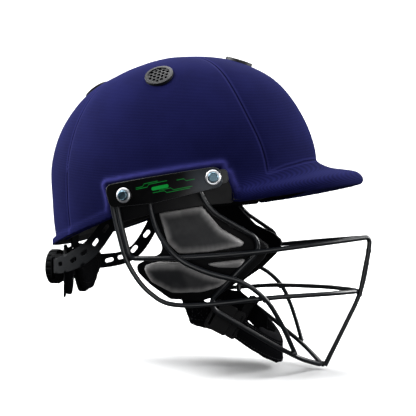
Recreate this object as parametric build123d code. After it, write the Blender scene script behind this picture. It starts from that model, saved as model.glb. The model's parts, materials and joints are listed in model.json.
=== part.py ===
from build123d import *
import os
from functools import lru_cache
from math import atan2, cos, degrees, pi, radians, sin, sqrt, tan

# Cricket helmet. Millimetres. +X is forward, +Y is the wearer's left, +Z is up.
# The origin is the middle of the head seat, level with the brow band.

# Crown: the covered outside, measured from the origin
crown_height = 135.5
front_reach = 127.0
rear_reach = 132.0
half_width = 95.5
widest_x = 5.0
skirt_depth = 60.0
cover_wall = 2.0
shell_wall = 3.0
liner_wall = 9.0
pad_wall = 6.0
layer_gap = 0.3

# Lower edge of the crown, seen from the side
nape_drop = 46.0
ear_drop = 13.0
temple_drop = 1.5
brow_rise = 15.0
trim_height = 4.0
trim_lip = 0.8

# Peak
peak_reach = 174.0
peak_edge_height = 11.9
peak_edge_side_height = -5.4
peak_thickness = 12.5
peak_side_thickness = 8.5
peak_root_height = 34.6
peak_side_height = 5.0
peak_side_x = 58.0
peak_side_y = 90.0
peak_seat_side = 3.4
peak_nose = 7.8
peak_side_nose = 1.2
peak_depth_inside = 14.0
peak_cover_wall = 1.6

# Cover seams, seen from above
crown_strip_half = 15.0
seam_front_x = 88.0
seam_rear_x = 90.0

# Vent grommets
vent_radius = 13.0
vent_face_radius = 10.4
vent_barrel_radius = 9.5
vent_barrel_wall = 1.5
vent_rise = 2.6
vent_sink = 0.8
vent_hole_radius = 1.5
vent_hole_pitch = 4.2
vent_barrel_depth = 6.0

# Ear mounts: trim, wires, bracket and plate lie in layers on the shell
temple_trim_rise = 1.2
wire_radius = 2.2
bracket_gap = 0.1
bracket_wall = 1.6
plate_gap = 0.1
plate_wall = 2.8
plate_corner = 6.0
bracket_length = 102.0
bracket_height = 12.0
rear_screw_x = -24.4
rear_screw_z = 1.0
front_screw_x = 47.6
front_screw_z = 14.9
screw_radius = 2.5
screw_clearance = 0.2
bracket_slot_travel = 3.0
boss_radius = 5.0
washer_radius = 6.6
washer_height = 2.2
head_radius = 4.4
head_height = 3.2
socket_across = 3.2
socket_depth = 1.8
nut_radius = 8.0
nut_flange = 1.4

# Grille
grille_reach = 180.0
grille_drop = 160.0
guard_reach = 134.0
upright_reach = 179.5
upright_half_gap = 2.25
upright_cross_x = 172.5
lower_hoop_drop = 87.0
lower_nose_bend = 14.0
chin_nose_bend = 15.0
tight_bend = 7.0
weld_depth = 0.1

# Cheek guards
guard_base_wall = 9.0
guard_base_sink = 6.8
guard_panel_sink = 1.0
guard_panel_round = 2.0
guard_corner = 7.0
panel_corner = 5.0

# Rear adjuster
dial_radius = 17.2
dial_wall = 9.0
dial_x = -132.2
dial_z = -68.0
grip_count = 18
grip_radius = 1.5
grip_share = 0.97
dial_gap = 0.5
housing_half_width = 26.0
housing_height = 26.0
housing_depth = 9.4
housing_wall = 1.6
housing_corner = 6.0
rack_wall = 2.6
rack_height = 4.0
rack_inner_y = 14.0
rack_outer_y = 22.8
rack_gap = 0.4
tooth_module = 1.0
pinion_teeth = 8
tooth_share = 0.40
tooth_backlash = 0.35
spindle_radius = 2.4
spindle_gap = 0.06
band_wall = 1.6
band_radius_x = 104.8
band_radius_y = 71.0
band_centre_x = -22.0
band_hole_half = 4.2
band_hole_length = 6.5
lobe_wall = 7.0
lobe_width = 33.0
lobe_height = 46.0
lobe_centre_y = 25.0
lobe_centre_z = -70.0
lobe_corner = 9.0
lobe_arc_radius = 84.0
lobe_channel = 1.6
cradle_plate_wall = 2.0
cradle_plate_margin = 2.5
hanger_width = 18.0
hanger_wall = 1.6
hanger_stand = 1.2

# Chin strap
strap_wall = 1.6
strap_height = 20.0
strap_centre_x = 20.0
strap_radius_x = 79.0
strap_radius_y = 62.0
anchor_x = -6.0
anchor_z = 4.0
anchor_radius = 8.0
anchor_stand = 2.6
rivet_radius = 2.4
flap_wall = 5.0
cup_wall = 6.0
cup_height = 27.0
cup_start_x = 80.0
buckle_width = 27.0
buckle_wall = 7.0
socket_length = 20.0
plug_length = 9.0
prong_length = 12.0
prong_wall = 3.2
prong_gap = 0.4
slider_width = 25.0
slider_length = 9.0
slider_wall = 1.6
slider_gap = 1.0

# A cut runs this far past what it cuts
overrun = 30.0
# A bend takes at most this share of the shorter run beside it
bend_share = 0.45

# Outlines and sections, as shares of the sizes above
# Crown sections: height, front reach, rear reach, half width
crown_shares = (
    (0.000, 0.998, 0.990, 1.000),
    (0.185, 1.000, 1.000, 0.990),
    (0.332, 0.979, 0.977, 0.955),
    (0.480, 0.930, 0.924, 0.890),
    (0.627, 0.850, 0.830, 0.790),
    (0.745, 0.760, 0.716, 0.675),
    (0.841, 0.650, 0.560, 0.550),
    (0.922, 0.488, 0.375, 0.395),
    (0.974, 0.315, 0.208, 0.235),
    (0.996, 0.120, 0.075, 0.090),
    (1.000, 0.040, 0.025, 0.030),
)
# Skirt sections below the origin: depth, front reach, rear reach, half width
skirt_shares = (
    (1.0, 0.915, 0.925, 0.890),
    (0.5, 0.970, 0.973, 0.965),
)
# Guard surface under the wires: drop, half width
guard_shares = (
    (-0.19, 1.000),
    (0.000, 1.000),
    (0.190, 0.981),
    (0.345, 0.956),
    (0.470, 0.900),
    (0.575, 0.845),
    (0.720, 0.770),
    (1.000, 0.600),
)
# Wire routes: x over grille reach, drop over grille drop, level in wire diameters outwards
lower_hoop_side_shares = (
    (-0.230, -0.012, 0.0),
    (-0.205, 0.130, 0.0),
    (-0.155, 0.350, 0.0),
    (-0.080, 0.490, 0.0),
    (0.020, 0.580, 0.0),
    (0.130, 0.592, 0.0),
    (0.280, 0.579, 0.0),
    (0.430, 0.560, 0.0),
)
upper_wire_side_shares = (
    (-0.203, -0.018, 0.0),
    (-0.180, 0.130, 0.0),
    (-0.133, 0.335, 0.0),
    (0.090, 0.330, 0.0),
    (0.300, 0.315, 0.0),
    (0.450, 0.302, 0.0),
)
chin_hoop_side_shares = (
    (0.190, -0.080, 0.0),
    (0.255, 0.075, 0.0),
    (0.510, 0.255, -0.9),
    (0.366, 0.415, -0.9),
    (0.222, 0.590, -0.9),
    (0.410, 0.727, -0.6),
)
brace_side_shares = (
    (-0.028, -0.060, 0.0),
    (-0.026, 0.060, 0.0),
    (0.012, 0.200, 0.4),
    (0.104, 0.334, 1.0),
    (0.250, 0.412, 1.0),
)
# Front parts of the wires: x over grille reach, half width over guard half width, drop
lower_hoop_front_shares = (
    (0.575, 0.565, 0.550),
    (0.800, 0.330, 0.543),
)
upper_wire_front_shares = (
    (0.590, 0.640, 0.283),
    (0.760, 0.425, 0.261),
)
chin_hoop_front_shares = (
    (0.540, 0.505, 0.826),
    (0.655, 0.345, 0.910),
)
brace_front_shares = (
    (0.400, 0.790, 0.455),
    (0.511, 0.690, 0.556),
    (0.580, 0.548, 0.712),
    (0.633, 0.395, 0.880),
)
# Cheek guard outlines: x over grille reach, drop over grille drop
guard_base_shares = (
    (-0.030, 0.030), (-0.005, 0.180), (0.030, 0.300), (-0.045, 0.335),
    (-0.110, 0.370), (-0.110, 0.410), (-0.050, 0.480), (0.045, 0.560),
    (0.200, 0.568), (0.275, 0.540), (0.400, 0.440), (0.490, 0.340),
    (0.520, 0.275), (0.465, 0.225), (0.350, 0.170), (0.250, 0.060), (0.215, -0.010),
)
upper_panel_shares = (
    (-0.004, 0.045), (0.190, -0.005), (0.215, 0.050), (0.300, 0.168),
    (0.410, 0.245), (0.400, 0.268), (0.250, 0.298), (0.105, 0.310),
    (0.050, 0.250),
)
middle_panel_shares = (
    (0.205, 0.362), (0.425, 0.332), (0.395, 0.388), (0.290, 0.384),
)
lower_panel_shares = (
    (-0.085, 0.375), (0.000, 0.350), (0.120, 0.352), (0.225, 0.405),
    (0.345, 0.442), (0.320, 0.480), (0.200, 0.520), (0.060, 0.525), (-0.040, 0.465),
)
# Side plate and temple trim outlines: x over half width, z over half width
plate_shares = (
    (-0.470, 0.100), (0.570, 0.262), (0.617, 0.088), (0.020, -0.062), (-0.415, -0.105),
)
temple_shares = (
    (-0.430, 0.020), (-0.430, -0.150), (-0.375, -0.238), (-0.050, -0.160),
    (0.420, -0.082), (0.680, -0.058), (0.690, 0.010), (0.620, 0.190), (0.540, 0.200),
)
# Adjuster bands, upper and lower edges: x over rear reach, drop over crown height
band_right_upper_shares = (
    (-0.903, 0.435), (-0.700, 0.372), (-0.560, 0.290),
    (-0.430, 0.155), (-0.240, 0.000),
)
band_right_lower_shares = (
    (-0.903, 0.535), (-0.660, 0.490), (-0.490, 0.395),
    (-0.340, 0.215), (-0.240, 0.105),
)
band_left_upper_shares = (
    (-0.903, 0.435), (-0.700, 0.425), (-0.560, 0.400),
    (-0.400, 0.200), (-0.240, 0.000),
)
band_left_lower_shares = (
    (-0.903, 0.535), (-0.660, 0.530), (-0.500, 0.480),
    (-0.340, 0.290), (-0.240, 0.105),
)
# Chin webbing, upper and lower edges: x over strap reach, drop over grille drop
chin_upper_shares = ((0.25, 0.575), (0.44, 0.590), (0.60, 0.640), (0.80, 0.745), (1.05, 0.865))
chin_lower_shares = ((0.25, 0.700), (0.44, 0.712), (0.60, 0.765), (0.80, 0.870), (1.05, 0.990))


# Shapes that many pieces share

def egg(front, rear, width, level):
    """Plan section: two half ellipses that meet at the widest place."""
    middle = (widest_x, 0)
    nose = EllipticalCenterArc(middle, front, width, start_angle=-90, arc_size=180)
    tail = EllipticalCenterArc(middle, rear, width, start_angle=90, arc_size=180)
    return Pos(0, 0, level) * make_face(Curve() + [nose, tail])


@lru_cache(maxsize=None)
def crown(inset):
    """Solid inside the crown's outside, drawn in evenly by the inset."""
    front, rear = front_reach - inset, rear_reach - inset
    width, height = half_width - inset, crown_height - inset
    sections = [egg(f * front, r * rear, w * width, -d * skirt_depth) for d, f, r, w in skirt_shares]
    sections += [egg(f * front, r * rear, w * width, h * height) for h, f, r, w in crown_shares]
    return loft(sections)


@lru_cache(maxsize=None)
def layer(outer_inset, inner_inset):
    """Skin of the crown between two insets."""
    return crown(outer_inset) - crown(inner_inset)


wire_level = temple_trim_rise + wire_radius
guard_half_width = half_width + wire_level


@lru_cache(maxsize=None)
def guard(inset):
    """Solid inside the surface that the grille wires follow, drawn in by the inset."""
    reach = guard_reach - inset
    sections = [
        egg(reach, reach, w * guard_half_width - inset, -d * grille_drop) for d, w in guard_shares
    ]
    return loft(sections[::-1])


def blend_table(table, key):
    """Value at a key, on straight runs between the rows of a two-column table."""
    for (key_a, value_a), (key_b, value_b) in zip(table, table[1:]):
        if key <= key_b:
            return value_a + (value_b - value_a) * (key - key_a) / (key_b - key_a)
    return table[-1][1]


def guard_y(x, drop_share, out):
    """Right-hand y of the guard surface, moved outwards by the last argument."""
    width = blend_table(guard_shares, drop_share) * guard_half_width
    across = sqrt(1 - ((x - widest_x) / guard_reach) ** 2)
    return -(width * across + out)


def side_face(points):
    """Face in the side view, from points given as x and z."""
    return Plane.XZ * make_face(Polyline(*points, close=True))


def right_block(face):
    """Side-view face carried across the right half of the helmet."""
    return extrude(face, half_width + overrun)


def both_block(face):
    """Side-view face carried across the whole helmet."""
    return extrude(face, half_width + overrun, both=True)


def mirrored(part):
    """The left-hand twin of a right-hand piece."""
    return mirror(part, about=Plane.XZ)


def corner_radii(corners, radius, closed):
    """Radius at each corner of a route or outline, no larger than its sides allow."""
    count = len(corners)
    inner = range(count) if closed else range(1, count - 1)
    radii = []
    for i in inner:
        a, b = corners[i] - corners[i - 1], corners[(i + 1) % count] - corners[i]
        half_turn = radians(a.get_angle(b)) / 2
        room = bend_share * min(a.length, b.length) / tan(half_turn)
        radii.append(min(room, radius.get(i, room) if isinstance(radius, dict) else radius))
    return radii


def rounded_outline(points, radius):
    """Flat face with rounded corners."""
    radii = corner_radii([Vector(*point) for point in points], radius, True)
    return make_face(FilletPolyline(*points, radius=radii, close=True))


def rounded_face(points, radius):
    """Side-view face with rounded corners, from points given as x and z."""
    return Plane.XZ * rounded_outline(points, radius)


def tube(points, radius, tight=None):
    """Round wire along straight runs joined by tangent arcs."""
    radii = corner_radii([Vector(*point) for point in points], tight or {}, False)
    path = FilletPolyline(*points, radius=radii)
    start = Plane(origin=path @ 0, z_dir=path % 0)
    return sweep(start * Circle(radius), path=path)


def main_solid(part):
    """The largest solid of a cut, without the chips left beyond it."""
    return max(part.solids(), key=lambda s: s.volume)


# Lower edge of the crown

def rim_points(rise):
    """Lower edge in the side view, from the nape to the brow, moved up by the rise."""
    return [
        (-rear_reach - overrun, -nape_drop - ear_drop * 0.5 + rise),
        (-rear_reach * 0.88, -nape_drop * 0.96 + rise),
        (-rear_reach * 0.5, -nape_drop * 0.57 + rise),
        (-rear_reach * 0.25, -ear_drop * 1.05 + rise),
        (0, -ear_drop * 0.75 + rise),
        (half_width * 0.7, -temple_drop + rise),
        (front_reach * 0.82, brow_rise * 0.66 + rise),
        (front_reach * 1.02, brow_rise + rise),
        (peak_reach + overrun, brow_rise + rise),
    ]


@lru_cache(maxsize=None)
def above_rim(rise):
    """Everything above the lower edge."""
    edge = Spline(*rim_points(rise))
    top = crown_height + overrun
    first, last = rim_points(rise)[0], rim_points(rise)[-1]
    sides = Polyline(last, (last[0], top), (first[0], top), first)
    return both_block(Plane.XZ * make_face(Curve() + [edge, sides]))


# Vents

vent_directions = {
    "vent_front": (0.41, 0, 0.93),
    "vent_rear": (-0.62, 0, 0.785),
    "vent_right": (-0.055, -0.467, 0.883),
    "vent_left": (-0.055, 0.467, 0.883),
}


@lru_cache(maxsize=None)
def vent_plane(name):
    """Plane on the crown at a vent, facing outwards."""
    axis = Axis((0, 0, 0), vent_directions[name])
    hits = crown(0).find_intersection_points(axis)
    point, normal = max(hits, key=lambda hit: hit[0].dot(axis.direction))
    if normal.dot(axis.direction) < 0:
        normal = normal * -1
    return Plane(origin=point, z_dir=normal)


def vent_core(name, radius):
    """Cylinder through every layer at a vent."""
    return vent_plane(name) * Cylinder(radius, 2 * overrun)


def vent_hole_places():
    """Hexagonal grid of holes that fit in the grommet's face."""
    places = [(0, 0)]
    for ring in (1, 2):
        for step in range(6 * ring):
            side, along = divmod(step, ring)
            start = radians(60 * side)
            end = radians(60 * (side + 1))
            share = along / ring
            places.append(
                tuple(
                    ring * vent_hole_pitch * ((1 - share) * f(start) + share * f(end))
                    for f in (cos, sin)
                )
            )
    return places


def vent_grommet(name):
    """Perforated cap that seats on the shell, with a barrel through its hole."""
    plane = vent_plane(name)
    cap = vent_core(name, vent_radius) & layer(-vent_rise, cover_wall)
    face = vent_core(name, vent_face_radius) - crown(vent_sink - vent_rise)
    barrel_depth = cover_wall + vent_barrel_depth
    barrel = vent_core(name, vent_barrel_radius) & layer(cover_wall, barrel_depth)
    bore = vent_core(name, vent_barrel_radius - vent_barrel_wall) & layer(cover_wall, 2 * barrel_depth)
    holes = [plane * Pos(x, y) * Cylinder(vent_hole_radius, 2 * overrun) for x, y in vent_hole_places()]
    return cap - face + (barrel - bore) - holes


# Crown pieces

def seam_block():
    """Plan region of the centre cover panel, wide at brow and nape, narrow at the crown."""
    right = [
        (-rear_reach - overrun, -half_width * 0.98),
        (-seam_rear_x * 1.02, -half_width * 0.675),
        (-seam_rear_x * 0.92, -half_width * 0.54),
        (-seam_rear_x * 0.70, -half_width * 0.26),
        (-seam_rear_x * 0.30, -crown_strip_half),
        (seam_front_x * 0.12, -crown_strip_half * 1.05),
        (seam_front_x * 0.52, -half_width * 0.45),
        (seam_front_x * 0.85, -half_width * 0.69),
        (seam_front_x * 1.08, -half_width * 0.72),
        (front_reach + overrun, -half_width * 0.80),
    ]
    left = [(x, -y) for x, y in right[::-1]]
    edges = [Spline(*right), Line(right[-1], left[0]), Spline(*left), Line(left[-1], right[0])]
    return extrude(make_face(Curve() + edges), crown_height + overrun, both=True)


def plate_outline():
    return rounded_face([(x * half_width, z * half_width) for x, z in plate_shares], plate_corner)


def temple_outline():
    return rounded_face([(x * half_width, z * half_width) for x, z in temple_shares], plate_corner)


@lru_cache(maxsize=None)
def screw_places():
    """Planes on the crown at the right screws, facing outwards."""
    places = []
    for x, z in ((rear_screw_x, rear_screw_z), (front_screw_x, front_screw_z)):
        axis = Axis((x, 0, z), (0, -1, 0))
        hits = crown(0).find_intersection_points(axis)
        point, normal = min(hits, key=lambda hit: hit[0].Y)
        if normal.Y > 0:
            normal = normal * -1
        places.append(Plane(origin=point, z_dir=normal))
    return places


def screw_holes(radius):
    """Right screw holes of a given radius."""
    return [plane * Cylinder(radius, 2 * overrun) for plane in screw_places()]


def hard_shell():
    body = layer(cover_wall, cover_wall + shell_wall) & above_rim(trim_height)
    holes = screw_holes(screw_radius + screw_clearance)
    for hole in holes + [mirrored(hole) for hole in holes]:
        body -= hole
    for name in vent_directions:
        body -= vent_core(name, vent_barrel_radius)
    return body


def cover_skin():
    skin = layer(0, cover_wall) & above_rim(trim_height)
    for name in vent_directions:
        skin -= vent_core(name, vent_radius)
    temple = right_block(temple_outline())
    return skin - temple - mirrored(temple)


def cover_panels():
    """Centre panel and the two side panels, met at the seams."""
    skin = cover_skin()
    centre = skin & seam_block()
    sides = skin - seam_block()
    right = max(sides.solids(), key=lambda s: -s.center().Y)
    left = max(sides.solids(), key=lambda s: s.center().Y)
    return centre, right, left


def rim_trim():
    """Soft edge that closes cover, shell and liner along the lower rim."""
    depth = cover_wall + shell_wall + layer_gap + liner_wall
    band = layer(-trim_lip, depth) & above_rim(0)
    band -= above_rim(trim_height)
    temple = right_block(temple_outline()) - crown(cover_wall)
    return main_solid(band - temple - mirrored(temple) - (peak_wedge(0) - crown(0)))


liner_inset = cover_wall + shell_wall + layer_gap
pad_inset = liner_inset + liner_wall + layer_gap


def energy_liner():
    body = layer(liner_inset, liner_inset + liner_wall) & above_rim(trim_height)
    for name in vent_directions:
        body -= vent_core(name, vent_barrel_radius + layer_gap)
    pockets = [plane * Cylinder(nut_radius + layer_gap, 2 * overrun) for plane in screw_places()]
    keep = crown(liner_inset + nut_flange + layer_gap)
    for pocket in pockets:
        pocket = pocket - keep
        body = body - pocket - mirrored(pocket)
    return body


def pad_layer():
    return layer(pad_inset, pad_inset + pad_wall)


def crown_pad():
    """Oval pad under the crown, with sewn channels that cross."""
    oval = extrude(Ellipse(half_width * 0.62, half_width * 0.40), crown_height)
    pad = pad_layer() & (Pos(widest_x, 0, crown_height / 2) * oval)
    ribs = Box(half_width * 2, pad_wall * 0.5, crown_height * 2)
    channel = crown(pad_inset + pad_wall * 0.55)
    for turn in (0, 60, -60):
        pad -= (Pos(widest_x, 0, 0) * Rot(0, 0, turn) * ribs) & channel
    return pad


def brow_pad():
    """Sweat band round the brow, as sewn segments."""
    low, high = brow_rise + trim_height + 2 * layer_gap, brow_rise + trim_height + 2.3 * nape_drop * 0.45
    ring = Pos(0, 0, (low + high) / 2) * Box(4 * half_width, 4 * half_width, high - low)
    ahead = Pos(widest_x + half_width * 1.37, 0, 0)
    front = ahead * Box(half_width * 2, half_width * 1.5, crown_height * 2)
    pad = pad_layer() & ring & front
    channel = crown(pad_inset + pad_wall * 0.55)
    for turn in (-36, -12, 12, 36):
        rib = Box(half_width * 2, pad_wall * 0.4, crown_height * 2)
        pad -= (Rot(0, 0, turn) * Pos(half_width, 0, 0) * rib) & channel
    return main_solid(pad)


def side_pad():
    """Right comfort pad above the ear."""
    points = [
        (-half_width * 0.62, half_width * 0.22), (-half_width * 0.1, half_width * 0.22),
        (half_width * 0.42, half_width * 0.34), (half_width * 0.36, half_width * 0.72),
        (-half_width * 0.55, half_width * 0.66),
    ]
    pad = pad_layer() & right_block(rounded_face(points, panel_corner))
    channel = crown(pad_inset + pad_wall * 0.55)
    for x in (-half_width * 0.28, half_width * 0.08):
        pad -= (Pos(x, -half_width, 0) * Box(pad_wall * 0.4, 2 * half_width, crown_height * 2)) & channel
    return main_solid(pad)


# Peak

def peak_section(turn_share, grow):
    """Section of the padded brim, on a plane turned about the peak's middle."""
    turn = radians(turn_share * 90)
    rise = cos(turn)

    def between(side, middle, power=1.0):
        return side + (middle - side) * rise ** power

    tip = Vector(between(peak_side_x, peak_reach, 0.9), peak_side_y * sin(turn), 0)
    inward = Vector(-cos(turn), -sin(turn), 0)

    def at(back, height):
        return tip + inward * back + Vector(0, 0, height)

    low = between(peak_edge_side_height, peak_edge_height, 1.1)
    thick = between(peak_side_thickness, peak_thickness)
    root = between(peak_side_height, peak_root_height, 0.66) - low - thick
    seat = between(peak_seat_side, peak_reach - widest_x - front_reach * 0.99)
    nose = between(peak_side_nose, peak_nose)
    scale = 1 + 2 * grow / thick
    middle = low + thick / 2

    def top(back, share):
        return at(back, middle + thick / 2 * scale + root * share)

    depth = seat + peak_depth_inside
    upper = Spline(
        top(depth, 1.0 + 0.63 * peak_depth_inside / peak_thickness), top(seat, 1.0), top(seat * 0.8, 0.48),
        top(seat * 0.5, 0.2), top(nose, 0.0),
    )
    front = Spline(
        top(nose, 0.0), at(nose * 0.4 - grow * 0.6, middle + thick * 0.29 * scale),
        at(-grow, middle - thick * 0.13 * scale), at(nose * 0.3, middle - thick / 2 * scale),
    )
    lower = Line(front @ 1, at(depth, middle - thick / 2 * scale))
    return make_face(Curve() + [upper, front, lower, Line(lower @ 1, upper @ 0)])


@lru_cache(maxsize=None)
def peak_wedge(grow):
    """Brim lofted through its wedges from the right temple round to the left."""
    shares = (-0.98, -0.8, -0.6, -0.4, -0.2, 0, 0.2, 0.4, 0.6, 0.8, 0.98)
    return loft([peak_section(share, grow) for share in shares])


def peak_pieces():
    """Stiff core and the cloth cover that wraps it."""
    core = peak_wedge(-peak_cover_wall) - crown(0)
    wrap = peak_wedge(0) - crown(0) - peak_wedge(-peak_cover_wall)
    temple = right_block(temple_outline())
    return [main_solid(piece - temple - mirrored(temple)) for piece in (core, wrap)]


# Ear mounts

def temple_trim():
    """Moulded trim under the grille ends, with a boss round each screw."""
    body = layer(-temple_trim_rise, cover_wall) & right_block(temple_outline())
    bosses = layer(-wire_level - wire_radius, -temple_trim_rise)
    for plane in screw_places():
        body += bosses & (plane * Cylinder(boss_radius, overrun))
    for hole in screw_holes(screw_radius + screw_clearance):
        body -= hole
    return body


bracket_inset = -(temple_trim_rise + 2 * wire_radius + bracket_gap)
plate_inset = bracket_inset - bracket_wall - plate_gap


def bracket_centre():
    """Middle of the two screws in the side view, and the slope of their line in degrees."""
    slope = degrees(atan2(front_screw_z - rear_screw_z, front_screw_x - rear_screw_x))
    return (rear_screw_x + front_screw_x) / 2, (rear_screw_z + front_screw_z) / 2, slope


def side_place(x, z, turn):
    """Location in the side view."""
    return Plane.XZ * Pos(x, z) * Rot(0, 0, turn)


def grille_bracket():
    """Steel strap that the wire ends are welded under, with two slots."""
    x, z, slope = bracket_centre()
    strap = side_place(x, z, slope) * RectangleRounded(bracket_length, bracket_height, plate_corner * 0.6)
    body = layer(bracket_inset - bracket_wall, bracket_inset) & right_block(strap)
    slot = SlotCenterToCenter(bracket_slot_travel, 2 * (screw_radius + 2 * screw_clearance))
    for sx, sz in ((rear_screw_x, rear_screw_z), (front_screw_x, front_screw_z)):
        body -= right_block(side_place(sx, sz, slope) * slot)
    return body


def side_plate():
    """Glossy curved plate, with a lip turned in along its upper edge."""
    outline = plate_outline()
    body = layer(plate_inset - plate_wall, plate_inset) & right_block(outline)
    lip = layer(plate_inset, -temple_trim_rise - plate_gap) & right_block(outline)
    x, z, slope = bracket_centre()
    lip -= right_block(side_place(x, z, slope) * Rectangle(2 * bracket_length, bracket_height * 1.12))
    upper = side_place(x, z + bracket_height, slope) * Rectangle(bracket_length * 1.2, bracket_height * 2)
    body += main_solid(lip & right_block(upper))
    for hole in screw_holes(screw_radius + screw_clearance):
        body -= hole
    return main_solid(body)


plate_top = -plate_inset + plate_wall


def washers():
    """Cup washers, coned to take the screw heads."""
    rings = []
    for plane in screw_places():
        ring = plane * Pos(0, 0, plate_top + washer_height / 2) * Cylinder(washer_radius, washer_height)
        rim = max(ring.edges(), key=lambda e: (e.center() - plane.origin).dot(plane.z_dir))
        ring = fillet(rim, washer_height * 0.6)
        cone = Cone(head_radius * 0.6, head_radius + layer_gap, washer_height * 1.02)
        ring -= plane * Pos(0, 0, plate_top + washer_height * 0.5) * cone
        ring -= plane * Cylinder(screw_radius + screw_clearance, 2 * overrun)
        rings.append(ring)
    return rings


def screws():
    """Socket screws through plate, bracket, trim and shell into the tee nuts."""
    parts = []
    tail = liner_inset + nut_flange
    for plane in screw_places():
        low = plate_top + washer_height * 0.55
        head = Pos(0, 0, low + head_height / 2) * Cylinder(head_radius, head_height)
        head = fillet(head.edges().group_by(Axis.Z)[-1], head_height * 0.4)
        seat = head.edges().group_by(Axis.Z)[0]
        head = chamfer(seat, washer_height * 0.45, head_radius * 0.2)
        shank_length = low + tail + head_height * 0.3
        shank = Pos(0, 0, low + head_height * 0.3 - shank_length / 2) * Cylinder(screw_radius, shank_length)
        socket = extrude(RegularPolygon(socket_across, 6, major_radius=False), socket_depth * 2)
        body = head + shank - Pos(0, 0, low + head_height - socket_depth) * socket
        parts.append(plane * body)
    return parts


def tee_nuts():
    """Nuts with a broad flange under the shell."""
    parts = []
    for plane in screw_places():
        flange = plane * Cylinder(nut_radius, 2 * overrun)
        body = flange & layer(liner_inset, liner_inset + nut_flange)
        body = min(body.solids(), key=lambda s: s.center().Y)
        body -= plane * Cylinder(screw_radius, 2 * overrun)
        parts.append(body)
    return parts


# Grille

def side_route(table):
    """Route points on the guard surface from a table of shares."""
    points = []
    for x_share, drop_share, out_share in table:
        x = x_share * grille_reach
        out = out_share * 2 * wire_radius
        points.append((x, guard_y(x, drop_share, out), -drop_share * grille_drop))
    return points


def front_route(table):
    """Route points in front of the face from a table of shares."""
    return [(x * grille_reach, -y * guard_half_width, -d * grille_drop) for x, y, d in table]


def flipped(points):
    """The same route on the left, run the other way."""
    return [(x, -y, z) for x, y, z in points[::-1]]


def nose_point(last, nose_x, nose_z, radius):
    """Corner in front of a hoop's nose, so that its arc just reaches the nose."""
    half = atan2(abs(last[1]), nose_x - last[0])
    reach = radius * (1 / sin(half) - 1)
    return (nose_x + reach, 0, nose_z + reach * (nose_z - last[2]) / (nose_x - last[0]))


def lower_hoop():
    right = side_route(lower_hoop_side_shares) + front_route(lower_hoop_front_shares)
    nose_x = upright_cross_x - 2 * wire_radius + weld_depth
    nose = nose_point(right[-1], nose_x, -lower_hoop_drop, lower_nose_bend)
    return tube(right + [nose] + flipped(right), wire_radius, {len(right): lower_nose_bend})


def chin_hoop():
    right = side_route(chin_hoop_side_shares) + front_route(chin_hoop_front_shares)
    nose_x = 0.748 * grille_reach
    nose = nose_point(right[-1], nose_x, -0.975 * grille_drop, chin_nose_bend)
    count = len(right) * 2
    tight = {2: tight_bend * 1.7, 4: tight_bend * 1.4, len(right): chin_nose_bend}
    tight.update({count - 2: tight_bend * 1.7, count - 4: tight_bend * 1.4})
    return tube(right + [nose] + flipped(right), wire_radius, tight)


def upright_x(drop_share):
    """Forward place of the uprights at a drop below the bracket line."""
    rows = ((0.23, upright_reach), (0.30, upright_reach - wire_radius * 0.3), (0.544, upright_cross_x),
            (1.0, 0.762 * grille_reach))
    return blend_table(rows, drop_share)


def upper_wire(long_leg):
    """Upper wire of one side; its front end turns down as an upright."""
    points = side_route(upper_wire_side_shares) + front_route(upper_wire_front_shares)
    for drop_share in (0.231, 0.300, 0.544):
        points.append((upright_x(drop_share), -upright_half_gap, -drop_share * grille_drop))
    x, y, z = points[-1]
    if long_leg:
        points.append((upright_x(0.985), y, -0.985 * grille_drop))
    else:
        slope = (upright_x(1.0) - upright_x(0.544)) / (0.456 * grille_drop)
        points.append((x + slope * wire_radius * 2.2, y, z - wire_radius * 2.2))
        points.pop(-2)
    count = len(side_route(upper_wire_side_shares)) + len(upper_wire_front_shares)
    return tube(points, wire_radius, {2: tight_bend, count: tight_bend})


def brace():
    """Wire that runs forward over the cheek and down to the chin hoop."""
    return tube(side_route(brace_side_shares) + front_route(brace_front_shares), wire_radius)


# Cheek guards

@lru_cache(maxsize=None)
def guard_layer(outer_inset, inner_inset):
    """Skin of the guard surface between two insets."""
    return guard(outer_inset) - guard(inner_inset)


def guard_points(table):
    return [(x * grille_reach, -d * grille_drop) for x, d in table]


def guard_base():
    """Foam base behind the wires."""
    outline = rounded_face(guard_points(guard_base_shares), guard_corner)
    skin = guard_layer(guard_base_sink, guard_base_sink + guard_base_wall)
    return main_solid((skin & right_block(outline)) - above_rim(-layer_gap))


def guard_panel(table, round_size):
    """Raised moulded panel with its outer edge rounded over."""
    outline = rounded_face(guard_points(table), panel_corner)
    skin = guard_layer(guard_panel_sink, guard_base_sink)
    body = main_solid(skin & right_block(outline))
    outer = [face for face in body.faces() if face.normal_at(None).Y < -bend_share]
    edges = [edge for face in outer for edge in face.edges()]
    rim = [edge for edge in edges if sum(edge.is_same(other) for other in edges) == 1]
    body = fillet(rim, round_size)
    return main_solid(body - above_rim(-layer_gap) - right_block(temple_outline()))


# Rear adjuster

def on_dial(x):
    """Plane across the dial's axis at a distance along X, facing rearwards."""
    return Plane(origin=(x, 0, dial_z), x_dir=(0, -1, 0), z_dir=(-1, 0, 0))


housing_back_x = dial_x + dial_wall + dial_gap
housing_front_x = housing_back_x + housing_depth
pitch_radius = tooth_module * pinion_teeth / 2
tooth_height = 1.9 * tooth_module
rack_level = pitch_radius + tooth_module
rack_x = housing_back_x + housing_wall + rack_gap


def housing_blank(x, depth, shrink):
    """Rounded block of the housing, drawn in by the shrink."""
    shape = RectangleRounded(
        2 * (housing_half_width - shrink), housing_height - 2 * shrink, housing_corner - shrink)
    return extrude(on_dial(x) * shape, -depth)


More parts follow.
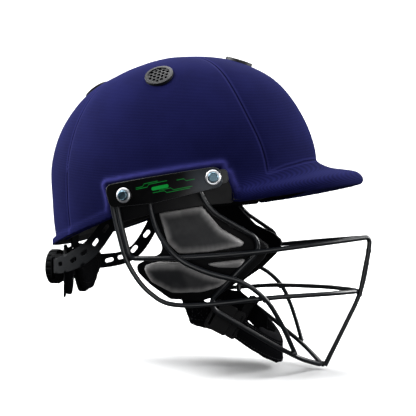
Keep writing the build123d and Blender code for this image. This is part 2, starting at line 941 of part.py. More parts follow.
def housing_cover():
    """Rear half of the housing: the dial's seat and the track for the racks."""
    body = housing_blank(housing_back_x, housing_depth - housing_wall, 0)
    body -= housing_blank(housing_back_x + housing_wall, housing_depth, housing_wall)
    body -= on_dial(0) * Cylinder(spindle_radius + spindle_gap, 4 * rear_reach)
    mouth_height = 2 * (rack_level + tooth_module + rack_height + rack_gap)
    mouth = Pos((rack_x + rack_wall / 2), 0, dial_z) * Box(
        rack_wall + 2 * rack_gap, 4 * housing_half_width, mouth_height)
    return body - mouth


def housing_front():
    """Front half of the housing, curved to the cradle plate, with the spindle's bearing."""
    body = housing_blank(housing_front_x - housing_wall, housing_wall + housing_depth, 0)
    body -= Pos(lobe_arc_x, 0, 0) * Cylinder(lobe_arc_radius + cradle_plate_wall, 4 * crown_height)
    boss = extrude(on_dial(housing_front_x - housing_wall) * Circle(spindle_radius * 1.9),
                   housing_depth - 2 * housing_wall - rack_wall - 3 * rack_gap)
    body += boss
    return body - on_dial(0) * Cylinder(spindle_radius + spindle_gap, 4 * rear_reach)


def dial():
    """Thumb dial with finger grips and a dished face."""
    body = extrude(on_dial(dial_x) * Circle(dial_radius), -dial_wall)
    rim = body.edges().filter_by(GeomType.CIRCLE).sort_by(Axis.X)[0]
    body = fillet(rim, dial_wall * 0.2)
    for i in range(grip_count):
        turn = Rot(0, 0, 360 * i / grip_count)
        notch = on_dial(dial_x) * turn * Pos(dial_radius * (grip_share + 0.06), 0) * Cylinder(
            grip_radius, 4 * dial_wall)
        body -= notch
    dish = on_dial(dial_x) * Cylinder(dial_radius * 0.62, dial_wall * 0.3)
    body -= dish
    length = housing_depth - housing_wall * 0.5 + dial_gap
    spindle = extrude(on_dial(dial_x + dial_wall) * Circle(spindle_radius), -length)
    return body + spindle


def pinion():
    """Toothed wheel keyed on the spindle between the two racks."""
    root = pitch_radius - tooth_module * 1.15
    tip = pitch_radius + tooth_module * 0.85
    shape = Circle(root)
    step = 360 / pinion_teeth
    half_pitch = pi * tooth_module * tooth_share * 0.5
    tooth = [
        (root * 0.8, half_pitch * 1.35), (pitch_radius, half_pitch), (tip, half_pitch * 0.42),
        (tip, -half_pitch * 0.42), (pitch_radius, -half_pitch), (root * 0.8, -half_pitch * 1.35),
    ]
    for i in range(pinion_teeth):
        shape += Rot(0, 0, step * (i + 0.5) + 90) * make_face(Polyline(*tooth, close=True))
    body = extrude(on_dial(rack_x) * shape, -rack_wall)
    return body - on_dial(0) * Cylinder(spindle_radius, 4 * rear_reach)


def rack(side):
    """Toothed end of a band. The right one runs above the pinion, the left one below."""
    pitch = pi * tooth_module
    half_tooth = pitch * tooth_share * 0.5 - tooth_backlash * 0.25
    teeth_height = tooth_module * 0.85
    root = tooth_module * 1.1
    points = [(-rack_inner_y, root + rack_height), (-rack_inner_y, root)]
    count = int(rack_inner_y // pitch)
    for i in range(-count, count + 1):
        middle = i * pitch
        points += [
            (middle - half_tooth * 1.5, root), (middle - half_tooth * 0.6, -teeth_height),
            (middle + half_tooth * 0.6, -teeth_height), (middle + half_tooth * 1.5, root),
        ]
    points += [(rack_inner_y, root), (rack_outer_y, root), (rack_outer_y, root + rack_height)]
    shape = make_face(Polyline(*[(u, pitch_radius + v) for u, v in points], close=True))
    body = extrude(on_dial(rack_x) * shape, -rack_wall)
    return body if side > 0 else Pos(0, 0, dial_z) * Rot(180, 0, 0) * Pos(0, 0, -dial_z) * body


def band_ring(outer, inner):
    """Upright ring that the head band lies on."""
    shape = Ellipse(band_radius_x + outer, band_radius_y + outer) - Ellipse(
        band_radius_x - inner, band_radius_y - inner)
    return Pos(band_centre_x, 0, 0) * extrude(shape, crown_height, both=True)


def band_line(upper, lower, share):
    """Side-view point between a band's edges."""
    def on(table):
        xs = [p[0] for p in table]
        position = share * (len(xs) - 1)
        i = min(int(position), len(xs) - 2)
        part = position - i
        return [a + (b - a) * part for a, b in zip(table[i], table[i + 1])]
    (xa, za), (xb, zb) = on(upper), on(lower)
    return (xa + xb) / 2 * rear_reach, -(za + zb) / 2 * crown_height


def band(upper, lower, side):
    """Flexible perforated strip from the temple to the housing."""
    scale = [[(x * rear_reach, -z * crown_height) for x, z in table] for table in (upper, lower)]
    edges = [Spline(*scale[0]), Spline(*scale[1])]
    ends = [Line(scale[0][0], scale[1][0]), Line(scale[0][-1], scale[1][-1])]
    outline = Plane.XZ * make_face(Curve() + edges + ends)
    body = band_ring(0, band_wall) & right_block(outline)
    count = 6
    for i in range(count):
        share = (i + 0.7) / (count + 0.6)
        x, z = band_line(upper, lower, share)
        x2, z2 = band_line(upper, lower, share + 0.03)
        turn = degrees(atan2(z2 - z, x2 - x))
        lean = (x - band_centre_x) / band_radius_x
        y = -band_radius_y * sqrt(max(0, 1 - lean * lean))
        out = Vector((x - band_centre_x) / band_radius_x ** 2, y / band_radius_y ** 2, 0).normalized()
        along = Vector(0, 0, 1).cross(out) * -1
        rise = (z2 - z) / max(abs(x2 - x), 1e-6) * abs(along.X)
        run = (along * (1 if along.X > 0 else -1) + Vector(0, 0, rise)).normalized()
        plane = Plane(origin=(x, y, z), x_dir=run, z_dir=out)
        slot = SlotOverall(band_hole_length + band_hole_half * 0.6, band_hole_half)
        body -= extrude(plane * slot, band_wall * 4, both=True)
    return main_solid(body) if side > 0 else mirrored(main_solid(body))


lobe_arc_x = housing_front_x + lobe_arc_radius + cradle_plate_wall


def lobe_ring(outer, inner):
    """Upright ring that the nape pads lie on."""
    return Pos(lobe_arc_x, 0, 0) * extrude(
        Circle(lobe_arc_radius + outer) - Circle(lobe_arc_radius - inner), 2 * crown_height, both=True)


def lobe_outline(grow):
    """Nape pad outline seen from behind, tapered towards its foot."""
    w, h = lobe_width / 2 + grow, lobe_height / 2 + grow
    points = [
        (w * 0.8, h), (-w, h * 0.85), (-w * 0.95, -h * 0.1),
        (-w * 0.45, -h), (w * 0.25, -h), (w, h * 0.1),
    ]
    return rounded_outline(points, lobe_corner)


def lobe_block(grow):
    """Right pad outline carried forward through the nape."""
    behind = (-rear_reach - overrun, -lobe_centre_y, lobe_centre_z)
    place = Plane(origin=behind, x_dir=(0, 1, 0), z_dir=(1, 0, 0))
    return extrude(place * lobe_outline(grow), rear_reach)


def nape_pad():
    """Right nape pad: a crowned cushion with one sewn channel."""
    body = lobe_ring(0, lobe_wall) & lobe_block(0)
    channel = lobe_ring(-lobe_wall + lobe_channel, lobe_wall + lobe_channel)
    middle = Pos(-rear_reach, -lobe_centre_y, lobe_centre_z)
    cut = middle * Box(2 * rear_reach, 2 * lobe_width, lobe_channel)
    return main_solid(body - (channel & cut))


def cradle_plate():
    """Thin plate behind both nape pads, bridged under the housing."""
    right = lobe_block(cradle_plate_margin)
    bridge = Pos(-rear_reach, 0, dial_z) * Box(rear_reach, 2 * lobe_centre_y, housing_height * 0.7)
    ring = lobe_ring(cradle_plate_wall, 0)
    rear_only = Pos(-rear_reach * 1.2, 0, 0) * Box(rear_reach * 2, 4 * half_width, 4 * crown_height)
    body = ring & (right + mirrored(right) + bridge) & rear_only
    return body


def liner_face_x(z):
    """Forward place of the liner's inner face at the nape."""
    axis = Axis((0, 0, z), (-1, 0, 0))
    hits = crown(liner_inset + liner_wall).find_intersection_points(axis)
    return min(hit[0].X for hit in hits)


def liner_face_y(x, z):
    """Right-hand place of the liner's inner face."""
    axis = Axis((x, 0, z), (0, -1, 0))
    hits = crown(liner_inset + liner_wall).find_intersection_points(axis)
    return min(hit[0].Y for hit in hits)


hanger_rivet_z = -nape_drop * 0.62


def hanger():
    """Strap that ties the housing to the liner at the nape."""
    face_x = liner_face_x(hanger_rivet_z) + hanger_stand
    top = dial_z + housing_height / 2
    back_x = housing_back_x + housing_depth * 0.45
    line = [
        (face_x, hanger_rivet_z + hanger_width * 0.45),
        (face_x, -nape_drop - trim_height * 0.3),
        (back_x, top + hanger_wall * 1.8),
        (back_x, top),
    ]
    inner = [(x + hanger_wall, z + hanger_wall * 0.2 * (i == 1)) for i, (x, z) in enumerate(line)]
    shape = side_face(line + inner[::-1])
    return extrude(shape, hanger_width / 2, both=True)


def rivet(plane, grip, head):
    """Flat-headed rivet whose head lies outwards on the plane."""
    low = head * 0.28
    body = Pos(0, 0, low / 2) * Cylinder(head, low)
    body = fillet(body.edges().group_by(Axis.Z)[-1], low * 0.7)
    body += Pos(0, 0, -grip / 2) * Cylinder(rivet_radius, grip)
    return plane * body


rivet_grip = liner_wall + layer_gap + shell_wall * 0.5


def rivet_planes():
    """Planes of the rivets on the right half, and how far each head stands off the liner."""
    anchor = liner_face_y(anchor_x, anchor_z)
    band_x, band_z = -rear_reach * 0.275, -crown_height * 0.045
    lean = (band_x - band_centre_x) / band_radius_x
    band_head = 3 * layer_gap - (band_radius_y - band_wall) * sqrt(1 - lean * lean)
    band_face = liner_face_y(band_x, band_z)
    strap_stand = anchor_stand + strap_wall + layer_gap
    return [
        (Plane(origin=(anchor_x, anchor + strap_stand, anchor_z), z_dir=(0, 1, 0)), strap_stand),
        (Plane(origin=(band_x, band_head, band_z), z_dir=(0, 1, 0)), band_head - band_face),
    ]


def hanger_rivet_plane():
    x = liner_face_x(hanger_rivet_z) + hanger_stand + hanger_wall
    return Plane(origin=(x, 0, hanger_rivet_z), z_dir=(1, 0, 0))


def liner_rivets():
    """Rivets that hold the chin strap, the bands and the hanger to liner and shell."""
    parts = []
    for plane, stand in rivet_planes():
        part = rivet(plane, rivet_grip + stand, anchor_radius * 0.7)
        parts += [part, mirrored(part)]
    parts.append(rivet(hanger_rivet_plane(), rivet_grip + hanger_stand + hanger_wall, anchor_radius * 0.7))
    return parts


def rivet_holes(gap):
    """Holes for the rivets' shanks, on both sides."""
    holes = []
    for plane, stand in rivet_planes():
        hole = plane * Pos(0, 0, -overrun / 2 + overrun * 0.1) * Cylinder(rivet_radius + gap, overrun)
        holes += [hole, mirrored(hole)]
    holes.append(hanger_rivet_plane() * Cylinder(rivet_radius + gap, overrun))
    return holes


# Chin strap

strap_reach = strap_centre_x + strap_radius_x


def strap_ring(outer, inner):
    """Upright ring that the chin webbing lies on."""
    shape = Ellipse(strap_radius_x + outer, strap_radius_y + outer) - Ellipse(
        strap_radius_x - inner, strap_radius_y - inner)
    return Pos(strap_centre_x, 0, 0) * extrude(shape, 2 * grille_drop, both=True)


def strap_strip(start_share, end_share, grow):
    """Side-view strip between the strap's edges."""
    rows = []
    for table, sign in ((chin_upper_shares, 1), (chin_lower_shares, -1)):
        inside = [p for p in table if start_share < p[0] < end_share]
        shares = [start_share] + [p[0] for p in inside] + [end_share]
        rows.append([
            (s * strap_reach, -blend_table(table, s) * grille_drop + sign * grow) for s in shares
        ])
    upper, lower = rows
    edges = [Spline(*upper) if len(upper) > 2 else Line(*upper),
             Spline(*lower) if len(lower) > 2 else Line(*lower)]
    ends = [Line(upper[0], lower[0]), Line(upper[-1], lower[-1])]
    return Plane.XZ * make_face(Curve() + edges + ends)


def strap_plane(x_share):
    """Plane on the right strap's outer face: x runs forward along it, z points outwards."""
    x = x_share * strap_reach
    lean = (x - strap_centre_x) / strap_radius_x
    y = -strap_radius_y * sqrt(1 - lean * lean)
    def middle(share):
        upper, lower = blend_table(chin_upper_shares, share), blend_table(chin_lower_shares, share)
        return -(upper + lower) / 2 * grille_drop
    out = Vector((x - strap_centre_x) / strap_radius_x ** 2, y / strap_radius_y ** 2, 0).normalized()
    flat = Vector(-out.Y, out.X, 0)
    step = 0.04
    slope = (middle(x_share + step) - middle(x_share - step)) / (2 * step * strap_reach)
    along = (flat + Vector(0, 0, slope * flat.X)).normalized()
    return Plane(origin=(x, y, middle(x_share)), x_dir=along, z_dir=out)


corner_share = 0.24
socket_share = 0.50
webbing_start_share = 0.64


def side_strap():
    """Right webbing from its rivet down behind the cheek guard to the sewn corner."""
    anchor = Vector(anchor_x, liner_face_y(anchor_x, anchor_z) + anchor_stand + strap_wall / 2, anchor_z)
    corner_plane = strap_plane(corner_share + 0.05)
    corner = corner_plane.origin - corner_plane.z_dir * strap_wall * 0.5
    along = (corner - anchor).normalized()
    side = Vector(0, -1, 0)
    out = (side - along * side.dot(along)).normalized()
    length = (corner - anchor).length
    plane = Plane(origin=(anchor + corner) * 0.5, x_dir=along, z_dir=out)
    outline = plane * SlotOverall(length + strap_height * 0.7, strap_height)
    body = extrude(outline, strap_wall / 2, both=True)
    across = Plane(origin=anchor, z_dir=(0, 1, 0))
    hole = across * Cylinder(rivet_radius + layer_gap, 4 * strap_wall)
    sunk = Cylinder(anchor_radius * 0.7 + layer_gap, strap_wall * 2.2)
    seat = across * Pos(0, 0, strap_wall * 1.6) * sunk
    return body - hole - seat


def right_strap():
    """Side webbing with the short sewn length that the buckle socket is on."""
    corner = strap_ring(0, strap_wall) & right_block(strap_strip(corner_share, socket_share, 0))
    return main_solid(side_strap() + main_solid(corner))


def left_strap():
    """Side webbing of the left, sewn to the chin webbing's end."""
    strip = strap_strip(corner_share, webbing_start_share - 0.2, 0)
    corner = strap_ring(0, strap_wall) & right_block(strip)
    return mirrored(main_solid(side_strap() + main_solid(corner)))


def chin_webbing():
    """Webbing from the buckle plug round the chin to the left corner."""
    ring = strap_ring(0, strap_wall)
    right = ring & right_block(strap_strip(webbing_start_share, 1.04, 0))
    left = ring & mirrored(right_block(strap_strip(webbing_start_share - 0.2, 1.04, 0)))
    return main_solid(right + left)


def chin_cup():
    """Cushioned cup inside the webbing at the chin."""
    ring = strap_ring(-strap_wall - layer_gap, strap_wall + layer_gap + cup_wall)
    block = both_block(strap_strip(cup_start_x / strap_reach, 1.04, (cup_height - strap_height) / 2))
    body = main_solid(ring & block)
    return body


def strap_flap():
    """Padded flap that keeps the buckle off the jaw."""
    ring = strap_ring(-strap_wall - layer_gap, strap_wall + layer_gap + flap_wall)
    low, high = corner_share - 0.04, socket_share + 0.06
    grow = strap_height * 0.12
    points = []
    for table, sign, shares in ((chin_upper_shares, 1, (low, high)), (chin_lower_shares, -1, (high, low))):
        points += [(s * strap_reach, -blend_table(table, s) * grille_drop + sign * grow) for s in shares]
    flap = ring & right_block(rounded_face(points, guard_corner))
    return main_solid(flap - side_strap())


def buckle_plane():
    """Plane of the buckle: x runs forward to the chin, z points outwards."""
    plane = strap_plane(0.575)
    return Plane(origin=plane.origin + plane.z_dir * (buckle_wall / 2 + layer_gap), x_dir=plane.x_dir,
                 z_dir=plane.z_dir)


def buckle_box(x_low, x_high, width, height, y=0, z=0):
    """Block in the buckle's own axes."""
    return Pos((x_low + x_high) / 2, y, z) * Box(x_high - x_low, width, height)


prong_height = buckle_wall * 0.5
prong_y = buckle_width * 0.30


def buckle_socket():
    """Socket with an open mouth and a window on each side for the prongs."""
    body = buckle_box(-socket_length, 0, buckle_width, buckle_wall)
    body = fillet(body.edges().filter_by(Axis.Z), buckle_wall * 0.35)
    cavity_height = prong_height + 2 * prong_gap
    cavity = buckle_box(-socket_length * 0.75, overrun, buckle_width - 2 * prong_wall * 0.7, cavity_height)
    window = buckle_box(-prong_length * 0.95, -prong_length * 0.30, buckle_width * 2, cavity_height)
    bar = buckle_box(-socket_length * 0.93, -socket_length * 0.82, buckle_width * 0.76, buckle_wall * 2)
    return buckle_plane() * (body - cavity - window - bar)


def buckle_plug():
    """Plug body with its guide tongue and the webbing slot."""
    body = buckle_box(layer_gap, plug_length, buckle_width * 0.94, buckle_wall)
    body = fillet(body.edges().filter_by(Axis.Z), buckle_wall * 0.35)
    tongue = buckle_box(-prong_length, plug_length * 0.3, buckle_width * 0.16, prong_height)
    bar = buckle_box(plug_length * 0.62, plug_length * 0.80, buckle_width * 0.76, buckle_wall * 2)
    root = buckle_box(-prong_length * 0.12, plug_length * 0.3, buckle_width * 0.74, prong_height)
    return buckle_plane() * (body + tongue + root - bar)


def prong(side):
    """Spring prong whose catch stands in the socket's window."""
    root = -prong_length * 0.12 - prong_gap
    inner = prong_y - prong_wall * 0.5
    outer = prong_y + prong_wall * 0.4
    catch = buckle_width / 2
    points = [
        (root, inner), (root, outer), (-prong_length * 0.38, outer), (-prong_length * 0.40, catch),
        (-prong_length * 0.62, catch), (-prong_length * 0.85, outer), (-prong_length, outer),
        (-prong_length, inner + prong_wall * 0.1),
    ]
    shape = make_face(Polyline(*points, close=True))
    body = extrude(shape, prong_height / 2, both=True)
    return buckle_plane() * (body if side > 0 else mirror(body, about=Plane.XZ))


def slider_plane():
    """Plane of the slider on the left webbing."""
    plane = strap_plane(0.60)
    def flip(v):
        return Vector(v.X, -v.Y, v.Z)
    return Plane(origin=flip(plane.origin - plane.z_dir * strap_wall / 2), x_dir=flip(plane.x_dir),
                 z_dir=flip(plane.z_dir))


def slider():
    """Keeper loop that rides on the left webbing."""
    gap = strap_wall + 2 * slider_gap
    body = Box(slider_length, slider_width + 2 * slider_wall, gap + 2 * slider_wall)
    body = fillet(body.edges().filter_by(Axis.Z), slider_wall * 0.8)
    body -= Box(2 * slider_length, slider_width, gap)
    return slider_plane() * body


# Assembly

def cut_all(part, tools):
    for tool in tools:
        part = part - tool
    return part


def grille_parts():
    """Wires and brackets, each cut where another is welded over it."""
    lower, chin = lower_hoop(), chin_hoop()
    upper = {"right": upper_wire(False), "left": mirrored(upper_wire(True))}
    raw_brace = brace()
    parts = {"lower_hoop": lower, "chin_hoop": chin - lower - upper["right"] - upper["left"]}
    parts["chin_hoop"] = main_solid(parts["chin_hoop"])
    for side in ("right", "left"):
        wire = upper[side] - lower
        parts[f"upper_wire_{side}"] = main_solid(wire)
        one = raw_brace if side == "right" else mirrored(raw_brace)
        parts[f"brace_{side}"] = main_solid(one - lower - chin - upper[side])
        strap = grille_bracket()
        parts[f"grille_bracket_{side}"] = strap if side == "right" else mirrored(strap)
    return parts


def both_sides(parts):
    return parts + [mirrored(part) for part in parts]


def group(parts):
    """Several solids that share one node."""
    return Compound(children=[main_solid(part) for part in parts])


def all_parts():
    """Every node by name."""
    holes = rivet_holes(0)
    loose = rivet_holes(layer_gap)
    centre, right, left = cover_panels()
    core, wrap = peak_pieces()
    pad = side_pad()
    parts = {
        "hard_shell": cut_all(hard_shell(), holes),
        "cover_centre": centre,
        "cover_right": right,
        "cover_left": left,
        "rim_trim": rim_trim(),
        "energy_liner": cut_all(energy_liner(), holes),
        "crown_pad": crown_pad(),
        "brow_pad": brow_pad(),
        "side_pads": group([pad, mirrored(pad)]),
        "peak_core": core,
        "peak_cover": wrap,
        "plate_screws": group(both_sides(screws())),
        "cup_washers": group(both_sides(washers())),
        "tee_nuts": group(both_sides(tee_nuts())),
    }
    for name in ("vent_front", "vent_rear", "vent_right"):
        parts[name] = vent_grommet(name)
    parts["vent_left"] = mirrored(parts["vent_right"])
    makers = (("temple_trim", temple_trim), ("side_plate", side_plate), ("guard_base", guard_base))
    for name, make in makers:
        one = make()
        parts[f"{name}_right"], parts[f"{name}_left"] = one, mirrored(one)
    tables = (
        ("upper", upper_panel_shares, 1), ("middle", middle_panel_shares, 0.6), ("lower", lower_panel_shares, 1),
    )
    for name, table, share in tables:
        one = guard_panel(table, guard_panel_round * share)
        parts[f"guard_{name}_right"], parts[f"guard_{name}_left"] = one, mirrored(one)
    parts.update(grille_parts())
    for side in ("right", "left"):
        crossing = ("lower_hoop", "chin_hoop", f"upper_wire_{side}", f"brace_{side}")
        wires = [parts[name] for name in crossing]
        parts[f"temple_trim_{side}"] = main_solid(cut_all(parts[f"temple_trim_{side}"], wires))
        for name in ("guard_base", "guard_middle", "guard_lower"):
            parts[f"{name}_{side}"] = main_solid(parts[f"{name}_{side}"] - parts["chin_hoop"])
    pads = nape_pad()
    parts.update({
        "housing_cover": housing_cover(),
        "housing_front": housing_front(),
        "dial": dial(),
        "pinion": pinion(),
        "rack_right": rack(1),
        "rack_left": rack(-1),
        "band_right": cut_all(band(band_right_upper_shares, band_right_lower_shares, 1), loose),
        "band_left": cut_all(band(band_left_upper_shares, band_left_lower_shares, -1), loose),
        "cradle_plate": cradle_plate(),
        "nape_pads": group([pads, mirrored(pads)]),
        "hanger": cut_all(hanger(), loose[-1:]),
        "liner_rivets": group(liner_rivets()),
        "strap_right": right_strap(),
        "strap_left": left_strap(),
        "chin_webbing": chin_webbing(),
        "chin_cup": chin_cup(),
        "strap_flap": strap_flap(),
        "buckle_socket": buckle_socket(),
        "buckle_plug": buckle_plug(),
        "prong_upper": prong(1),
        "prong_lower": prong(-1),
        "slider": slider(),
    })
    return parts


os.makedirs("parts", exist_ok=True)
for node, part in all_parts().items():
    export_step(part, f"parts/{node}.step")
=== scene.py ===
"""Dresses the cricket helmet: knit cover, pads, webbing, stitches, finishes, light and camera."""

import json
import logging
import math
from dataclasses import dataclass, field
from enum import Enum
from itertools import combinations
from typing import Any

import bmesh
import bpy
import numpy as np
from mathutils import Matrix, Vector
from mathutils.bvhtree import BVHTree
from mathutils.kdtree import KDTree

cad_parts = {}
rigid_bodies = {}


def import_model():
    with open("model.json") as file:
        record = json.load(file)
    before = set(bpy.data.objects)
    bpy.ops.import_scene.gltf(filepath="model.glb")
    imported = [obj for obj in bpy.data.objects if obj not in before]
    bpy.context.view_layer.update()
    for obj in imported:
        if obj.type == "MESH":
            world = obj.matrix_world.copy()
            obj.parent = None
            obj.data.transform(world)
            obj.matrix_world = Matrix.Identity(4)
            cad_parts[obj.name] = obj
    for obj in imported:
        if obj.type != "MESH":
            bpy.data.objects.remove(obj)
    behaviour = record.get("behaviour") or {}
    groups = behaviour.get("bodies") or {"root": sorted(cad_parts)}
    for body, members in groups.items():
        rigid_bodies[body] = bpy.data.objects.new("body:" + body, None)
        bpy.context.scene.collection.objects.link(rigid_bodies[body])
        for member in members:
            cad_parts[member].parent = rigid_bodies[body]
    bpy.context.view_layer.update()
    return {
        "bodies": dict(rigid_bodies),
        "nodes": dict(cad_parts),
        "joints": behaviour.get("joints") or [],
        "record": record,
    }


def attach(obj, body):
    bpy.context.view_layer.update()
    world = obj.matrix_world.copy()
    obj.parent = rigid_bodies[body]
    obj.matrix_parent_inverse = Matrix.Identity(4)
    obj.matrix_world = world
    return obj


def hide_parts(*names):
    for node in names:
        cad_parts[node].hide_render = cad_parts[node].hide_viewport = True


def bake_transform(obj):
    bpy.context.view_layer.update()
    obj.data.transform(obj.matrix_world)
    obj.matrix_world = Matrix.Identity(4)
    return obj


LOG = logging.getLogger("helmet")
MM = 0.001
Socket = bpy.types.NodeSocket
Row = tuple[float, ...]


# Shader graph helpers


class Value:
    """A number socket. Python's operators on it add Math nodes."""

    def __init__(self, graph: "Graph", socket: Socket) -> None:
        """Keeps the graph and the socket.

        Args:
            graph: The graph that new nodes go into.
            socket: The output that holds the number.
        """
        self.graph = graph
        self.socket = socket

    def _math(self, operation: str, *others: Any) -> "Value":
        """One Math node on this value and up to two others."""
        inputs = {i: other for i, other in enumerate((self, *others))}
        node = self.graph.node("ShaderNodeMath", {"operation": operation}, inputs)
        return Value(self.graph, node.outputs[0])

    def __add__(self, other: Any) -> "Value":
        """Sum."""
        return self._math("ADD", other)

    __radd__ = __add__

    def __sub__(self, other: Any) -> "Value":
        """Difference."""
        return self._math("SUBTRACT", other)

    def __rsub__(self, other: Any) -> "Value":
        """Difference from a plain number."""
        node = self.graph.node("ShaderNodeMath", {"operation": "SUBTRACT"}, {0: other, 1: self})
        return Value(self.graph, node.outputs[0])

    def __mul__(self, other: Any) -> "Value":
        """Product."""
        return self._math("MULTIPLY", other)

    __rmul__ = __mul__

    def __truediv__(self, other: Any) -> "Value":
        """Quotient."""
        return self._math("DIVIDE", other)

    def __pow__(self, other: float) -> "Value":
        """Power."""
        return self._math("POWER", other)

    def sine(self) -> "Value":
        """Sine of the value, taken as radians."""
        return self._math("SINE")

    def wave(self, pitch: float) -> "Value":
        """Wave from 0 to 1 that repeats over a pitch."""
        return (self * (2 * math.pi / pitch)).sine() * 0.5 + 0.5

    def size(self) -> "Value":
        """The value without its sign."""
        return self._math("ABSOLUTE")

    def top(self, other: Any) -> "Value":
        """The larger of two values."""
        return self._math("MAXIMUM", other)

    def low(self, other: Any) -> "Value":
        """The smaller of two values."""
        return self._math("MINIMUM", other)

    def step(self, start: float, end: float) -> "Value":
        """Smooth step.

        Args:
            start: Where the result is 0.
            end: Where the result is 1.

        Returns:
            A value from 0 to 1.
        """
        node = self.graph.node(
            "ShaderNodeMapRange",
            {"interpolation_type": "SMOOTHSTEP"},
            {"Value": self, "From Min": start, "From Max": end},
        )
        return Value(self.graph, node.outputs["Result"])


class Graph:
    """A material's node tree, with one method that adds any node."""

    def __init__(self, name: str) -> None:
        """Makes an empty material.

        Args:
            name: The material's name.
        """
        self.material = bpy.data.materials.new(name)
        self.material.use_nodes = True
        self.tree = self.material.node_tree
        self.tree.nodes.clear()
        self.output = self.tree.nodes.new("ShaderNodeOutputMaterial")

    def node(
        self, kind: str, settings: dict[str, Any] | None = None, inputs: dict[Any, Any] | None = None,
    ) -> Any:
        """Adds a node.

        Args:
            kind: The node's type name.
            settings: Attributes to set first.
            inputs: Socket name or number to a plain value, a Value, or a socket.

        Returns:
            The new node.
        """
        made = self.tree.nodes.new(kind)
        for key, value in (settings or {}).items():
            setattr(made, key, value)
        for key, value in (inputs or {}).items():
            self._feed(made.inputs[key], value)
        return made

    def _feed(self, socket: Socket, value: Any) -> None:
        """Links or sets one input."""
        if isinstance(value, Value):
            self.tree.links.new(value.socket, socket)
        elif isinstance(value, bpy.types.NodeSocket):
            self.tree.links.new(value, socket)
        else:
            socket.default_value = value

    def coords(self) -> Socket:
        """Object coordinates, in metres."""
        return self.node("ShaderNodeTexCoord").outputs["Object"]

    def split(self, vector: Socket) -> tuple[Value, Value, Value]:
        """The three parts of a vector as values."""
        parts = self.node("ShaderNodeSeparateXYZ", None, {0: vector})
        return tuple(Value(self, out) for out in parts.outputs)

    def attribute(self, name: str) -> Value:
        """A mesh attribute's number."""
        return Value(self, self.node("ShaderNodeAttribute", {"attribute_name": name}).outputs["Fac"])

    def noise(self, size: float, detail: float = 2.0, vector: Socket | None = None) -> Value:
        """Noise with features of a given size.

        Args:
            size: Size of a feature in metres.
            detail: Number of finer layers.
            vector: Where it is read; Object coordinates if left out.

        Returns:
            A value near 0.5, from 0 to 1.
        """
        inputs = {"Vector": vector or self.coords(), "Scale": 1 / size, "Detail": detail}
        return Value(self, self.node("ShaderNodeTexNoise", None, inputs).outputs[0])

    def cells(self, size: float) -> Value:
        """Distance to the nearest cell's middle, for cells of a given size in metres."""
        inputs = {"Vector": self.coords(), "Scale": 1 / size}
        return Value(self, self.node("ShaderNodeTexVoronoi", None, inputs).outputs["Distance"])

    def mix(self, factor: Any, first: Any, second: Any) -> Socket:
        """Blend of two colours."""
        wide = [c if isinstance(c, bpy.types.NodeSocket) else (*c[:3], 1) for c in (first, second)]
        node = self.node("ShaderNodeMix", {"data_type": "RGBA"}, {0: factor, 6: wide[0], 7: wide[1]})
        return node.outputs[2]

    def bump(self, height: Value, depth: float, normal: Socket | None = None) -> Socket:
        """Normal bent by a height.

        Args:
            height: Height from 0 to 1.
            depth: What a height of 1 stands for, in metres.
            normal: Normal to start from.

        Returns:
            The bent normal.
        """
        inputs: dict[str, Any] = {"Height": height, "Distance": depth, "Strength": 1.0}
        if normal is not None:
            inputs["Normal"] = normal
        return self.node("ShaderNodeBump", None, inputs).outputs[0]

    def soft_edges(self, radius: float) -> Socket:
        """Normal that rounds the edges over a radius in metres."""
        return self.node("ShaderNodeBevel", {"samples": 4}, {"Radius": radius}).outputs[0]

    def edge_mask(self, rounded: Socket) -> Value:
        """1 along edges, from the rounded normal, and 0 on open faces."""
        flat = self.node("ShaderNodeNewGeometry").outputs["Normal"]
        dot = self.node("ShaderNodeVectorMath", {"operation": "DOT_PRODUCT"}, {0: rounded, 1: flat})
        return (1 - Value(self, dot.outputs["Value"])).step(0.002, 0.12)

    def surface(self, **sockets: Any) -> bpy.types.Material:
        """Closes the material with a Principled shader.

        Args:
            **sockets: Socket names with underscores for spaces, to values or links.

        Returns:
            The finished material.
        """
        inputs = {key.replace("_", " "): value for key, value in sockets.items()}
        for key in ("Base Color", "Sheen Tint", "Coat Tint"):
            if isinstance(inputs.get(key), tuple):
                inputs[key] = (*inputs[key][:3], 1)
        shader = self.node("ShaderNodeBsdfPrincipled", None, inputs)
        self.tree.links.new(shader.outputs[0], self.output.inputs[0])
        return self.material


# Finishes


